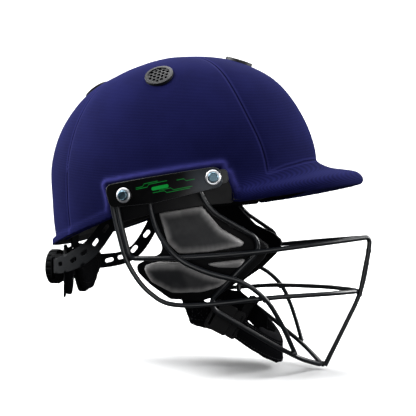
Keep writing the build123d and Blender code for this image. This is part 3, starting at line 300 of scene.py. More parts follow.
@dataclass(frozen=True)
class Knit:
    """Fine ribbed knit over the crown and peak, with sewn creases."""

    name: str = "knit_cover"
    light: Row = (0.0125, 0.0140, 0.0880)
    dark: Row = (0.0022, 0.0026, 0.0190)
    # pale is the colour of the painted highlight on the cloth roll by the plates and on the ridges beside
    # the seams.
    pale: Row = (0.0360, 0.0360, 0.1750)
    row_pitch: float = 1.5 * MM
    column_pitch: float = 1.1 * MM
    depth: float = 0.10 * MM
    crease_half: float = 0.9 * MM

    def make(self) -> bpy.types.Material:
        """Builds the knit, with painted shade in the seam creases and painted highlights beside the seams
        and on the cloth roll; it reads the cover's own row, column and seam attributes.
        """
        g = Graph(self.name)
        rows = g.attribute("knit_row").wave(self.row_pitch)
        columns = g.attribute("knit_column").wave(self.column_pitch)
        yarn = rows * 0.75 + columns * 0.25
        fuzz = g.noise(0.5 * MM, 3)
        mottle = g.noise(34 * MM, 4).step(0.25, 0.8)
        away = g.node("ShaderNodeAttribute", {"attribute_name": "seam_away"}).outputs["Vector"]
        gap = Value(g, g.node("ShaderNodeVectorMath", {"operation": "LENGTH"}, {0: away}).outputs["Value"])
        near = 1 - g.attribute("seam_far")
        # Painted shade: the knit is darkened in each seam's fold, which the bump also sinks.
        shaded_crease = (1 - gap.step(0.0, self.crease_half)) * near
        # Painted highlight on the ridges just beside each seam.
        seam_ridge_highlight = gap.step(0.8 * MM, 1.4 * MM) * (1 - gap.step(1.8 * MM, 3.2 * MM)) * near
        tone = (yarn * 0.40 + fuzz * 0.42 + mottle * 0.18) * (1 - 0.95 * shaded_crease)
        # Painted highlight: the cloth roll round the plates and the seam ridges are mixed towards pale.
        painted_highlight = (g.attribute("cloth_roll") * 0.8 + seam_ridge_highlight * 0.25) * (0.6 + 0.8 * fuzz)
        color = g.mix(painted_highlight, g.mix(tone * 1.15 - 0.12, self.dark, self.light), self.pale)
        height = yarn * 0.6 + fuzz * 0.4 - shaded_crease * 6
        return g.surface(
            Base_Color=color,
            Roughness=0.82 + 0.12 * fuzz,
            Normal=g.bump(height, self.depth),
            Sheen_Weight=0.05,
            Sheen_Roughness=0.35,
            Sheen_Tint=(0.15, 0.20, 0.85),
            Specular_IOR_Level=0.3,
            IOR=1.12,
        )


@dataclass(frozen=True)
class Moulding:
    """Moulded plastic or skinned rubber with a fine grain and rounded edges."""

    name: str
    color: Row
    # Colour of the painted highlight along edges.
    edge_highlight_color: Row
    roughness: float
    grain: float = 0.6 * MM
    grain_depth: float = 0.03 * MM
    edge_radius: float = 0.5 * MM
    specular: float = 0.5
    edge_highlight_share: float = 0.6

    def make(self) -> bpy.types.Material:
        """Builds the moulding; along its edges the colour is lighter as a painted highlight, and the
        surface is smoother for wear from rubbing.
        """
        g = Graph(self.name)
        rounded = g.soft_edges(self.edge_radius)
        painted_highlight = g.edge_mask(rounded)
        grain = g.noise(self.grain, 3)
        haze = g.noise(18 * MM, 3).step(0.3, 0.75)
        # Painted highlight: edges are mixed towards the edge colour; the haze adds random paler patches.
        color = g.mix(painted_highlight * self.edge_highlight_share + haze * 0.12, self.color, self.edge_highlight_color)
        return g.surface(
            Base_Color=color,
            # The same edge mask lowers the roughness, for wear from rubbing.
            Roughness=self.roughness + 0.10 * haze - 0.08 * painted_highlight + 0.05 * grain,
            Normal=g.bump(grain, self.grain_depth, rounded),
            Specular_IOR_Level=self.specular,
        )


@dataclass(frozen=True)
class GuardSkin:
    """Moulded skin of the cheek panels, with a painted highlight on the roll of the edge."""

    name: str = "guard_panel_grey"
    color: Row = (0.0130, 0.0135, 0.0158)
    # pale is the colour of the painted highlight on the roll.
    pale: Row = (0.520, 0.510, 0.505)

    def make(self) -> bpy.types.Material:
        """Builds the skin; it reads the panel's own roll attribute."""
        g = Graph(self.name)
        grain = g.noise(0.45 * MM, 3)
        haze = g.noise(16 * MM, 3).step(0.35, 0.7)
        roll = g.attribute("panel_roll")
        # Painted highlight: the roll of the edge is mixed towards pale.
        tone = roll * (0.82 + 0.18 * haze) + haze * 0.05
        return g.surface(
            Base_Color=g.mix(tone, self.color, self.pale),
            Roughness=0.50 + 0.08 * haze - 0.06 * roll + 0.05 * grain,
            Normal=g.bump(grain, 0.03 * MM),
            Specular_IOR_Level=0.35,
        )


@dataclass(frozen=True)
class PowderCoat:
    """Black powder coat on steel wire, with a faint orange peel."""

    name: str = "wire_black"
    color: Row = (0.0045, 0.0060, 0.0085)
    worn: Row = (0.018, 0.022, 0.030)

    def make(self) -> bpy.types.Material:
        """Builds the coat, dustier in patches along the wire."""
        g = Graph(self.name)
        peel = g.noise(0.9 * MM, 2)
        dust = g.noise(14 * MM, 4).step(0.5, 0.8)
        color = g.mix(dust * 0.3, self.color, self.worn)
        return g.surface(
            Base_Color=color,
            Roughness=0.30 + 0.14 * dust + 0.06 * peel,
            Normal=g.bump(peel, 0.05 * MM),
            Coat_Weight=0.15,
            Coat_Roughness=0.25,
        )


@dataclass(frozen=True)
class Steel:
    """Turned or pressed bright metal."""

    name: str
    color: Row
    roughness: float
    edge_radius: float = 0.25 * MM

    def make(self) -> bpy.types.Material:
        """Builds the metal with fine machining marks and a duller film in places."""
        g = Graph(self.name)
        rounded = g.soft_edges(self.edge_radius)
        marks = g.noise(0.35 * MM, 2)
        film = g.noise(4 * MM, 3).step(0.45, 0.8)
        dull = tuple(c * 0.7 for c in self.color)
        return g.surface(
            Base_Color=g.mix(film * 0.6, self.color, dull),
            Metallic=1.0,
            Roughness=self.roughness + 0.12 * film + 0.06 * marks,
            Normal=g.bump(marks, 0.012 * MM, rounded),
        )


@dataclass(frozen=True)
class Plate:
    """Polished black side plate with thin green strokes and a pill, a painted reflection on its front and
    painted highlights along its edges.
    """

    name: str = "plate_gloss"
    black: Row = (0.0004, 0.0004, 0.0006)
    # grey is the colour of the painted reflection on the plate's front.
    grey: Row = (0.048, 0.056, 0.068)
    green: Row = (0.004, 0.33, 0.045)
    middle_x: float = 9.0 * MM
    middle_z: float = 8.1 * MM
    slope_degrees: float = 10.9

    def make(self) -> bpy.types.Material:
        """Builds the plate; the design is laid out along and across the plate's own slope."""
        g = Graph(self.name)
        x, _, z = g.split(g.coords())
        turn = math.radians(self.slope_degrees)
        dx, dz = x - self.middle_x, z - self.middle_z
        along = (dx * math.cos(turn) + dz * math.sin(turn)) * (1 / MM)
        across = (dz * math.cos(turn) - dx * math.sin(turn)) * (1 / MM)
        pill = self._pill(along, across, -3.0, -0.2, 12.0, 1.5)
        lines = self._trace(along, across, (-24.0, -4.0), (3.4, 5.4), (-18.0, -16.0))
        for reach, levels, slope in (
            ((-24.0, 4.0), (2.2, 4.2), (-14.0, -12.0)), ((-10.0, 22.0), (-3.6, -5.6), (0.0, 2.0)),
            ((-4.0, 24.0), (-2.4, -4.4), (6.0, 8.0)), ((12.0, 27.0), (3.0, 1.0), (18.0, 20.0)),
        ):
            lines = lines.top(self._trace(along, across, reach, levels, slope))
        # Painted reflection: the front of the plate is mixed towards grey in soft bands.
        painted_reflection = along.step(15.0, 34.0) * (0.75 + 0.25 * (across * 0.20 + along * 0.07).sine())
        rounded = g.soft_edges(0.9 * MM)
        ground = g.mix(painted_reflection * 0.85, self.black, self.grey)
        # Painted highlight: the plate's edges are mixed towards light grey.
        edge = g.mix(g.edge_mask(rounded) * 0.5, ground, (0.20, 0.21, 0.22))
        lined = g.mix(lines * 0.75, edge, self.green)
        return g.surface(
            Base_Color=g.mix(pill, lined, self.green),
            Roughness=0.30 + 0.10 * g.noise(9 * MM, 3).step(0.4, 0.8),
            Normal=rounded,
            Coat_Weight=0.10,
            Coat_Roughness=0.16,
            Specular_IOR_Level=0.15,
        )

    @staticmethod
    def _pill(along: Value, across: Value, at: float, level: float, length: float, radius: float) -> Value:
        """Mask of a bar with round ends."""
        past = ((along - at).size() - length / 2).top(0)
        gap = (past * past + (across - level) * (across - level)) ** 0.5
        return 1 - gap.step(radius - 0.15, radius + 0.15)

    @staticmethod
    def _trace(along: Value, across: Value, reach: Row, levels: Row, slope: Row) -> Value:
        """Mask of a thin line along the plate that steps from one level to another."""
        soft = 0.2
        share = ((along - slope[0]) / (slope[1] - slope[0])).top(0).low(1)
        gap = (across - levels[0] - share * (levels[1] - levels[0])).size()
        begun = along.step(reach[0] - soft, reach[0] + soft)
        return (1 - gap.step(0.14, 0.34)) * (begun * (1 - along.step(reach[1] - soft, reach[1] + soft)))


@dataclass(frozen=True)
class Webbing:
    """Woven webbing that follows the strap's own lengthwise and crosswise attributes."""

    name: str = "webbing"
    dark: Row = (0.0010, 0.0010, 0.0014)
    light: Row = (0.0060, 0.0061, 0.0072)
    rib_pitch: float = 1.3 * MM
    warp_pitch: float = 1.5 * MM

    def make(self) -> bpy.types.Material:
        """Builds a twill of ribs, with flatter edges."""
        g = Graph(self.name)
        along, across = g.attribute("strap_along"), g.attribute("strap_across")
        rib, warp = (along + across * 0.5).wave(self.rib_pitch), across.wave(self.warp_pitch)
        fuzz = g.noise(0.4 * MM, 3)
        height = rib * 0.5 + warp * 0.35 + fuzz * 0.15
        return g.surface(
            Base_Color=g.mix(height, self.dark, self.light),
            Roughness=0.68 + 0.15 * fuzz,
            Normal=g.bump(height, 0.22 * MM),
            Specular_IOR_Level=0.10,
            IOR=1.10,
        )


@dataclass(frozen=True)
class PadCloth:
    """Brushed knit on the pads, with a soft mesh of small cells."""

    name: str = "pad_fabric"
    dark: Row = (0.0020, 0.0020, 0.0026)
    light: Row = (0.0120, 0.0122, 0.0145)
    cell: float = 1.6 * MM

    def make(self) -> bpy.types.Material:
        """Builds the cloth."""
        g = Graph(self.name)
        cells = g.cells(self.cell)
        fuzz = g.noise(0.5 * MM, 3)
        rub = g.noise(15 * MM, 3).step(0.4, 0.75)
        height = cells * 0.7 + fuzz * 0.3
        return g.surface(
            Base_Color=g.mix(height * 0.6 + rub * 0.3, self.dark, self.light),
            Roughness=0.85 + 0.1 * fuzz,
            Normal=g.bump(height, 0.18 * MM),
            Specular_IOR_Level=0.4,
            IOR=1.2,
        )


@dataclass(frozen=True)
class BeadFoam:
    """Moulded bead foam of the energy liner."""

    name: str = "foam_black"
    dark: Row = (0.0030, 0.0030, 0.0034)
    light: Row = (0.0130, 0.0132, 0.0145)

    def make(self) -> bpy.types.Material:
        """Builds the pressed beads."""
        g = Graph(self.name)
        beads = g.cells(3.6 * MM)
        pores = g.noise(0.7 * MM, 3)
        return g.surface(
            Base_Color=g.mix(beads.step(0.1, 0.6) * 0.8 + pores * 0.2, self.light, self.dark),
            Roughness=0.62 + 0.2 * pores,
            Normal=g.bump(1 - beads * 0.9 + pores * 0.1, 0.25 * MM),
        )


@dataclass(frozen=True)
class Backdrop:
    """Plain pale floor and wall."""

    name: str = "backdrop"
    color: Row = (0.93, 0.935, 0.94)

    def make(self) -> bpy.types.Material:
        """Builds the paint."""
        g = Graph(self.name)
        tone = g.noise(0.9, 2)
        return g.surface(
            Base_Color=g.mix(tone * 0.15, self.color, tuple(c * 0.97 for c in self.color)),
            Roughness=0.9 + 0.05 * tone,
            Specular_IOR_Level=0.1,
        )


class Finish(Enum):
    """Every finish on the helmet."""

    KNIT = Knit()
    SHELL = Moulding("shell_plastic", (0.0025, 0.0025, 0.0032), (0.012, 0.012, 0.014), 0.34, specular=0.3)
    EDGE = Moulding(
        "edge_rubber", (0.0022, 0.0022, 0.0028), (0.012, 0.012, 0.014), 0.55,
        edge_radius=0.8 * MM, specular=0.25,
    )
    FOAM = BeadFoam()
    PAD = PadCloth()
    HEX = Steel("hex_steel", (0.16, 0.25, 0.31), 0.30)
    WASHER = Steel("washer_chrome", (0.86, 0.87, 0.90), 0.36)
    RIVET = Steel("rivet_steel", (0.06, 0.06, 0.07), 0.35)
    VENT = Moulding(
        "vent_plastic", (0.0035, 0.0040, 0.0048), (0.045, 0.048, 0.055), 0.40,
        edge_radius=0.35 * MM, specular=0.35,
    )
    TRIM = Moulding("trim_plastic", (0.0018, 0.0018, 0.0024), (0.012, 0.013, 0.016), 0.46, specular=0.25)
    PLATE = Plate()
    GUARD = Moulding(
        "guard_foam", (0.0013, 0.0013, 0.0018), (0.009, 0.010, 0.012), 0.48,
        grain=0.35 * MM, edge_radius=1.2 * MM, specular=0.12,
    )
    PANEL = GuardSkin()
    WIRE = PowderCoat()
    BAND = Moulding(
        "adjuster_band", (0.0030, 0.0037, 0.0049), (0.014, 0.017, 0.021), 0.66,
        edge_radius=0.4 * MM, specular=0.1,
    )
    NYLON = Moulding(
        "adjuster_plastic", (0.0012, 0.0014, 0.0019), (0.007, 0.008, 0.010), 0.62,
        edge_radius=0.4 * MM, specular=0.08,
    )
    WEBBING = Webbing()
    BUCKLE = Moulding(
        "buckle_plastic", (0.0022, 0.0022, 0.0028), (0.014, 0.015, 0.018), 0.42,
        edge_radius=0.5 * MM, specular=0.15,
    )
    THREAD = Moulding(
        "thread", (0.008, 0.008, 0.010), (0.028, 0.028, 0.034), 0.6, grain=0.15 * MM, specular=0.2,
    )
    STAGE = Backdrop()

    @property
    def slot(self) -> str:
        """The material's name, which is the record's slot for all but the bands, thread and stage."""
        return self.value.name


class Paints:
    """Makes each finish's material once."""

    def __init__(self) -> None:
        """Starts with no materials."""
        self._made: dict[Finish, bpy.types.Material] = {}

    def get(self, finish: Finish) -> bpy.types.Material:
        """The finish's material.

        Args:
            finish: Which finish.

        Returns:
            The material, built on first use.
        """
        if finish not in self._made:
            self._made[finish] = finish.value.make()
        return self._made[finish]

    def dress(self, obj: bpy.types.Object, finish: Finish) -> None:
        """Puts one finish all over an object."""
        obj.data.materials.clear()
        obj.data.materials.append(self.get(finish))


PAINTS = Paints()


# Mesh helpers


def placed(name: str, data: Any) -> bpy.types.Object:
    """Puts a mesh, lamp or camera into the scene as an object at the origin."""
    obj = bpy.data.objects.new(name, data)
    bpy.context.scene.collection.objects.link(obj)
    return obj


def working_mesh(*objects: bpy.types.Object) -> bmesh.types.BMesh:
    """Working mesh with the faces of some objects."""
    work = bmesh.new()
    for obj in objects:
        work.from_mesh(obj.data)
    return work


def write_out(work: bmesh.types.BMesh, mesh: bpy.types.Mesh) -> None:
    """Writes a working mesh into a mesh and frees it."""
    work.to_mesh(mesh)
    work.free()


def tree_of(obj: bpy.types.Object) -> BVHTree:
    """Lookup tree of an object's faces."""
    mesh = obj.data
    return BVHTree.FromPolygons([v.co for v in mesh.vertices], [p.vertices for p in mesh.polygons])


def lookup_of(points: Any) -> KDTree:
    """Lookup of the nearest of some points."""
    lookup = KDTree(len(points))
    for i, point in enumerate(points):
        lookup.insert(point, i)
    lookup.balance()
    return lookup


def ramp(value: Any, start: Any, end: Any) -> Any:
    """0 up to the start, 1 from the end on and straight between; the end may be the smaller."""
    return np.clip((value - start) / (end - start), 0, 1)


def ease(share: Any) -> Any:
    """Share from 0 to 1 with a soft start and end."""
    return share * share * (3 - 2 * share)


def new_object(
    name: str, verts: Any, faces: Any, finish: Finish | None = None,
) -> bpy.types.Object:
    """Makes a smooth mesh object at the origin.

    Args:
        name: The object's name.
        verts: Vertices in metres.
        faces: Faces as lists of vertex numbers.
        finish: Finish to dress it with.

    Returns:
        The new object.
    """
    mesh = bpy.data.meshes.new(name)
    mesh.from_pydata([tuple(v) for v in verts], [], faces)
    mesh.shade_smooth()
    obj = placed(name, mesh)
    if finish is not None:
        PAINTS.dress(obj, finish)
    return obj


def settle(obj: bpy.types.Object) -> bpy.types.Object:
    """Turns an object's modifiers into plain mesh.

    Args:
        obj: The object with modifiers.

    Returns:
        The same object, with its result as its mesh.
    """
    bpy.context.view_layer.update()
    graph = bpy.context.evaluated_depsgraph_get()
    made = bpy.data.meshes.new_from_object(
        obj.evaluated_get(graph), preserve_all_data_layers=True, depsgraph=graph,
    )
    obj.modifiers.clear()
    obj.data = made
    return obj


def remeshed(obj: bpy.types.Object, voxel: float) -> bpy.types.Object:
    """Turns an object into one closed skin, with faces of a size in metres."""
    remesh = obj.modifiers.new("remesh", "REMESH")
    remesh.mode, remesh.voxel_size = "VOXEL", voxel
    return settle(obj)


def points_of(obj: bpy.types.Object, key: str = "co") -> np.ndarray:
    """An object's vertices as rows of x, y and z, or with the key "normal" their normals."""
    flat = np.zeros(len(obj.data.vertices) * 3, np.float32)
    obj.data.vertices.foreach_get(key, flat)
    return flat.reshape(-1, 3).astype(float)


def set_points(obj: bpy.types.Object, points: np.ndarray) -> None:
    """Moves an object's vertices."""
    obj.data.vertices.foreach_set("co", points.astype(np.float32).ravel())
    obj.data.update()


def merged_copy(nodes: list[bpy.types.Object], name: str) -> bpy.types.Object:
    """One mesh with the given nodes' faces, its doubles merged.

    Args:
        nodes: CAD nodes to copy.
        name: The copy's name.

    Returns:
        The new object.
    """
    work = working_mesh(*nodes)
    bmesh.ops.remove_doubles(work, verts=work.verts, dist=0.002 * MM)
    mesh = bpy.data.meshes.new(name)
    write_out(work, mesh)
    return placed(name, mesh)


def add_attribute(obj: bpy.types.Object, name: str, values: Any) -> None:
    """Stores one number per vertex."""
    layer = obj.data.attributes.get(name) or obj.data.attributes.new(name, "FLOAT", "POINT")
    layer.data.foreach_set("value", np.asarray(values, np.float32))


def smooth_by(
    obj: bpy.types.Object, factor: float, rounds: int, weights: np.ndarray | None = None,
) -> None:
    """Moves vertices towards the mean of their neighbours.

    Args:
        obj: The object to smooth.
        factor: Share of the way, in each round.
        rounds: Number of rounds.
        weights: How much each vertex takes part, from 0 to 1.
    """
    points = points_of(obj)
    count = len(points)
    pairs = np.zeros(len(obj.data.edges) * 2, np.int32)
    obj.data.edges.foreach_get("vertices", pairs)
    pairs = pairs.reshape(-1, 2)
    degree = np.bincount(pairs.ravel(), minlength=count)[:, None].clip(1)
    share = factor if weights is None else factor * weights[:, None]
    for _ in range(rounds):
        total = np.zeros_like(points)
        for axis in range(3):
            total[:, axis] = np.bincount(pairs[:, 0], points[pairs[:, 1], axis], count)
            total[:, axis] += np.bincount(pairs[:, 1], points[pairs[:, 0], axis], count)
        points += (total / degree - points) * share
    set_points(obj, points)


# Crown cover


@dataclass
class CoverSizes:
    """Sizes that the cover shares with the frame, in millimetres."""

    height: float = 135.5
    front: float = 127.0
    rear: float = 132.0
    half_width: float = 95.5
    widest_x: float = 5.0
    sections: tuple[Row, ...] = (
        (-0.4428, 0.915, 0.925, 0.890), (-0.2214, 0.970, 0.973, 0.965), (0.0, 0.998, 0.990, 1.0),
        (0.185, 1.0, 1.0, 0.990), (0.332, 0.979, 0.977, 0.955), (0.480, 0.930, 0.924, 0.890),
        (0.627, 0.850, 0.830, 0.790), (0.745, 0.760, 0.716, 0.675), (0.841, 0.650, 0.560, 0.550),
        (0.922, 0.488, 0.375, 0.395), (0.974, 0.315, 0.208, 0.235), (0.996, 0.120, 0.075, 0.090),
        (1.0, 0.040, 0.025, 0.030),
    )
    seam: tuple[Row, ...] = (
        (-162.0, 93.6), (-91.8, 64.5), (-82.8, 51.6), (-63.0, 24.8), (-27.0, 15.0),
        (10.6, 15.75), (45.8, 43.0), (74.8, 65.9), (95.0, 68.8), (157.0, 76.4),
    )
    plate: tuple[Row, ...] = ((-45.0, 9.6), (54.5, 25.0), (59.0, 8.4), (1.9, -5.9), (-39.6, -10.0))
    trim: tuple[Row, ...] = (
        (-41.1, 1.9), (-41.1, -14.3), (-35.8, -22.7), (-4.8, -15.3), (40.1, -7.8), (64.9, -5.5),
        (65.9, 1.0), (59.2, 18.1), (51.6, 19.1),
    )


def spline_through(keys: np.ndarray, values: np.ndarray, at: np.ndarray) -> np.ndarray:
    """Natural cubic spline.

    Args:
        keys: Rising places of the known values.
        values: Known values.
        at: Places to read.

    Returns:
        Values at those places.
    """
    count = len(keys)
    gaps = np.diff(keys)
    system = np.zeros((count, count))
    right = np.zeros(count)
    system[0, 0] = system[-1, -1] = 1
    for i in range(1, count - 1):
        system[i, i - 1: i + 2] = gaps[i - 1], 2 * (gaps[i - 1] + gaps[i]), gaps[i]
        slopes = (values[i + 1] - values[i]) / gaps[i] - (values[i] - values[i - 1]) / gaps[i - 1]
        right[i] = 6 * slopes
    bend = np.linalg.solve(system, right)
    i = np.clip(np.searchsorted(keys, at) - 1, 0, count - 2)
    h = gaps[i]
    a, b = (keys[i + 1] - at) / h, (at - keys[i]) / h
    curve = ((a**3 - a) * bend[i] + (b**3 - b) * bend[i + 1]) * h**2 / 6
    return a * values[i] + b * values[i + 1] + curve


def outline_gap(points: np.ndarray, corners: tuple[Row, ...]) -> np.ndarray:
    """Signed distance in a flat view, negative inside.

    Args:
        points: Rows of two coordinates.
        corners: The outline's corners.

    Returns:
        One distance per point.
    """
    loop = np.array(corners)
    best = np.full(len(points), 1e9)
    inside = np.zeros(len(points), bool)
    for a, b in zip(loop, np.roll(loop, -1, axis=0)):
        run = b - a
        t = np.clip(((points - a) @ run) / (run @ run), 0, 1)
        best = np.minimum(best, np.linalg.norm(points - a - t[:, None] * run, axis=1))
        crosses = (a[1] > points[:, 1]) != (b[1] > points[:, 1])
        with np.errstate(divide="ignore", invalid="ignore"):
            x = a[0] + (points[:, 1] - a[1]) * run[0] / run[1]
        inside ^= crosses & (points[:, 0] < x)
    return np.where(inside, -best, best)


@dataclass
class Cover:
    """One skin of knit over crown and peak, drawn smoothly from one into the other."""

    sizes: CoverSizes = field(default_factory=CoverSizes)
    voxel: float = 1.5 * MM
    swell: float = 2.6
    swell_reach: float = 3.0
    round_reach: float = 10.0
    groove: float = 0.45
    groove_reach: float = 1.6
    pillow: float = 0.5
    pillow_reach: float = 7.0
    below: float = 2.5
    lap: float = -1.5
    hem: float = 4.0
    rear_hem: float = 0.4
    rear_x: float = -98.0
    flare: float = 1.5
    brim_x: float = 60.0
    wall_share: float = 0.010
    tuck_share: float = 0.015
    trim_gap: float = 0.6
    trim_band: float = 8.0
    trim_limit: float = 7.0
    trim_steps: Row = (-1.8, -0.9, 0.0, 1.2)
    grid_rows: int = 200
    grid_columns: int = 420
    corner_rounds: int = 60
    knit_radius: float = 112.0
    out_stretch: float = 1.3
    seam_step: float = 0.4
    fold_z: tuple[Row, ...] = ((0.0, 34.8), (0.15, 34.2), (0.3, 32.0), (0.5, 26.5), (0.665, 20.0))
    edge: tuple[Row, ...] = (
        (-162.0, -52.5), (-116.2, -44.2), (-66.0, -26.2), (-33.0, -13.7), (0.0, -9.8), (66.9, -1.5),
        (104.1, 9.9), (129.5, 15.0), (204.0, 15.0),
    )

    def dome(self) -> np.ndarray:
        """The crown's outside as a grid of points, in millimetres, from the lowest row to the top."""
        s = self.sizes
        table = np.array(s.sections)
        ring = np.hypot(np.diff(table[:, 0]) * s.height, np.diff(table[:, 1]) * s.front)
        keys = np.concatenate([[0], np.cumsum(np.sqrt(ring))])
        rows = np.linspace(-self.below, keys[-1], self.grid_rows)
        z, f, r, w = (spline_through(keys, table[:, i], rows) for i in range(4))
        angles = np.linspace(-math.pi, math.pi, self.grid_columns, endpoint=False)
        reach = np.where(np.cos(angles)[None] > 0, f[:, None] * s.front, r[:, None] * s.rear)
        x = s.widest_x + reach * np.cos(angles)
        y = w[:, None] * s.half_width * np.sin(angles)
        return np.stack([x, y, np.repeat(z[:, None] * s.height, len(angles), 1)], 2)

    def build(self, nodes: dict[str, bpy.types.Object]) -> bpy.types.Object:
        """Makes the skin.

        Args:
            nodes: The frame's nodes by name.

        Returns:
            The dressed skin, in place.
        """
        grid = self.dome()
        high, wide = grid.shape[:2]
        faces = self._grid_faces(grid)
        faces.append(tuple(range(wide))[::-1])
        faces.append(tuple((high - 1) * wide + b for b in range(wide)))
        body = new_object("cover_skin", grid.reshape(-1, 3) * MM, faces)
        brim = merged_copy([nodes["peak_cover"], nodes["peak_core"]], "brim_work")
        skin = self._joined(body, brim)
        self._keep_outside(skin)
        self._raise_round_plates(skin)
        self._mark(skin)
        self._lay_over_trim(skin, nodes["rim_trim"])
        skin.data.shade_smooth()
        PAINTS.dress(skin, Finish.KNIT)
        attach(skin, "shell")
        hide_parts("cover_centre", "cover_right", "cover_left", "peak_cover")
        return skin

    def _joined(self, body: bpy.types.Object, brim: bpy.types.Object) -> bpy.types.Object:
        """Crown and brim as one remeshed solid, its inner corner rounded."""
        write_out(working_mesh(body, brim), body.data)
        bpy.data.objects.remove(brim)
        remeshed(body, self.voxel)
        points = points_of(body) / MM
        corner = self._corner_weight(points)
        smooth_by(body, 0.5, 6)
        smooth_by(body, 0.5, self.corner_rounds, corner)
        return body

    def _corner_weight(self, points: np.ndarray) -> np.ndarray:
        """1 where the side panels run into the brim, falling to 0 over the rounding reach."""
        x, z = points[:, 0], points[:, 2]
        off = (self._outline_share(points) - 1) * self.sizes.front
        low = ramp(z, 44, 34) * ramp(z - 0.1 * x, -1, 4)
        panel = 1 - 0.93 * ramp(x, 90, 99)
        return ramp(x, 56, 66) * low * panel * ramp(np.abs(off - 2), self.round_reach, 0)

    def _keep_outside(self, skin: bpy.types.Object) -> None:
        """Deletes the crown's closed bottom, below the rim, and leaves the brim whole."""
        s = self.sizes
        work = working_mesh(skin)
        doomed = []
        for vert in work.verts:
            x, y, z = (c / MM for c in vert.co)
            reach = s.front if x > s.widest_x else s.rear
            off = math.hypot((x - s.widest_x) / reach, y / s.half_width) - 1
            if z < self.rim(x) + self.lap and (off < self.wall_share or x < self.brim_x):
                doomed.append(vert)
        bmesh.ops.delete(work, geom=doomed, context="VERTS")
        for vert in work.verts:
            level = (self.rim(vert.co.x / MM) + self.lap) * MM
            if vert.is_boundary and abs(vert.co.z - level) < 2.5 * MM:
                vert.co.z = level
            elif vert.is_boundary and vert.co.x > self.brim_x * MM:
                x, y = vert.co.x / MM - s.widest_x, vert.co.y / MM
                tuck = (1 - self.tuck_share) / max(math.hypot(x / s.front, y / s.half_width), 0.5)
                vert.co.x, vert.co.y = (s.widest_x + x * tuck) * MM, y * tuck * MM
        rear = self.brim_x * MM
        edges = [e for e in work.edges if e.is_boundary and max(v.co.x for v in e.verts) < rear]
        mark = work.verts.layers.float.new("hem_fold")
        folded = bmesh.ops.extrude_edge_only(work, edges=edges)["geom"]
        for vert in (v for v in folded if isinstance(v, bmesh.types.BMVert)):
            way = Vector((s.widest_x * MM - vert.co.x, -vert.co.y * s.front / s.half_width, 0)).normalized()
            vert.co += way * (self.hem if vert.co.x > self.rear_x * MM else self.rear_hem) * MM
            vert[mark] = 1.0
        bmesh.ops.recalc_face_normals(work, faces=work.faces)
        write_out(work, skin.data)

    def rim(self, x: Any) -> Any:
        """Height of the lower edge at one or many places along the helmet, in millimetres."""
        return np.interp(x, *zip(*self.edge))

    def _outline_share(self, points: np.ndarray) -> np.ndarray:
        """Distance of points from the crown's middle as seen from above, 1 on its widest outline."""
        s = self.sizes
        return np.hypot((points[:, 0] - s.widest_x) / s.front, points[:, 1] / s.half_width)

    def _raise_round_plates(self, skin: bpy.types.Object) -> None:
        """Lifts the cloth into a soft roll above and in front of each side plate."""
        points = points_of(skin) / MM
        plate, trim = (outline_gap(points[:, [0, 2]], o) for o in (self.sizes.plate, self.sizes.trim))
        gap = np.minimum(plate, trim)
        side = np.abs(points[:, 1]) > 60
        shape = np.exp(-(((gap - self.swell_reach) / self.swell_reach) ** 2)) * ramp(gap, -0.4, 0.6)
        rise = points[:, 2] - self.rim(points[:, 0])
        fade = ramp(rise, 2, 10)
        ripple = 1 + 0.12 * np.sin(points[:, 0] * 0.55) * np.sin(points[:, 2] * 0.43 + 1)
        lift = np.where(side, shape * fade * ripple * self.swell, 0)
        # cloth_roll marks the roll that the knit lightens with a painted highlight.
        add_attribute(skin, "cloth_roll", np.where(side, shape * fade, 0))
        hem = ramp(rise, 9, 3) * ramp(gap, 0, 4) * ramp(points[:, 0], self.brim_x, self.brim_x - 8)
        moved = points + points_of(skin, "normal") * lift[:, None]
        moved += self._outward(points) * (ease(hem) * self.flare)[:, None]
        set_points(skin, moved * MM)

    def _outward(self, points: np.ndarray) -> np.ndarray:
        """Level outward direction at each point."""
        x, y = points[:, 0] - self.sizes.widest_x, points[:, 1] * self.out_stretch
        out = np.column_stack([x, y, np.zeros(len(points))])
        return out / np.linalg.norm(out, axis=1, keepdims=True).clip(1)

    def _lay_over_trim(self, skin: bpy.types.Object, trim: bpy.types.Object) -> None:
        """Keeps the hem a little outside the edge trim that it wraps."""
        tree = tree_of(trim)
        points = points_of(skin) / MM
        folded = np.zeros(len(points), np.float32)
        skin.data.attributes["hem_fold"].data.foreach_get("value", folded)
        rise = points[:, 2] - self.rim(points[:, 0])
        plate = outline_gap(points[:, [0, 2]], self.sizes.trim)
        near = (rise < self.trim_band) & (points[:, 0] < self.brim_x + 10)
        near &= (self._outline_share(points) > 0.85) & (plate > 0.5) & (folded < 0.5)
        weights = np.where(near, ramp(rise, 9, 5), 0) * ramp(plate, 0, 3) * (rise > -1.2)
        for rounds in (4, 0):
            points = points_of(skin) / MM
            out = self._outward(points)
            push = np.zeros(len(points))
            for i in np.flatnonzero(near):
                push[i] = self._push_out(tree, Vector(points[i]), Vector(out[i]))
            set_points(skin, (points + out * push[:, None]) * MM)
            if rounds:
                smooth_by(skin, 0.5, rounds, weights)

    def _push_out(self, tree: BVHTree, point: Vector, out: Vector) -> float:
        """How far a point goes outward to clear the trim, a little above and below it too."""
        push = 0.0
        for step in self.trim_steps:
            far = point + out * 15
            far.z = max(point.z + step, self.rim(point.x) + 0.4)
            hit = tree.ray_cast(far * MM, -out, 30 * MM)[0]
            need = (hit / MM - point).dot(out) + self.trim_gap if hit is not None else 0.0
            push = max(push, need if need < self.trim_limit else 0.0)
        return push

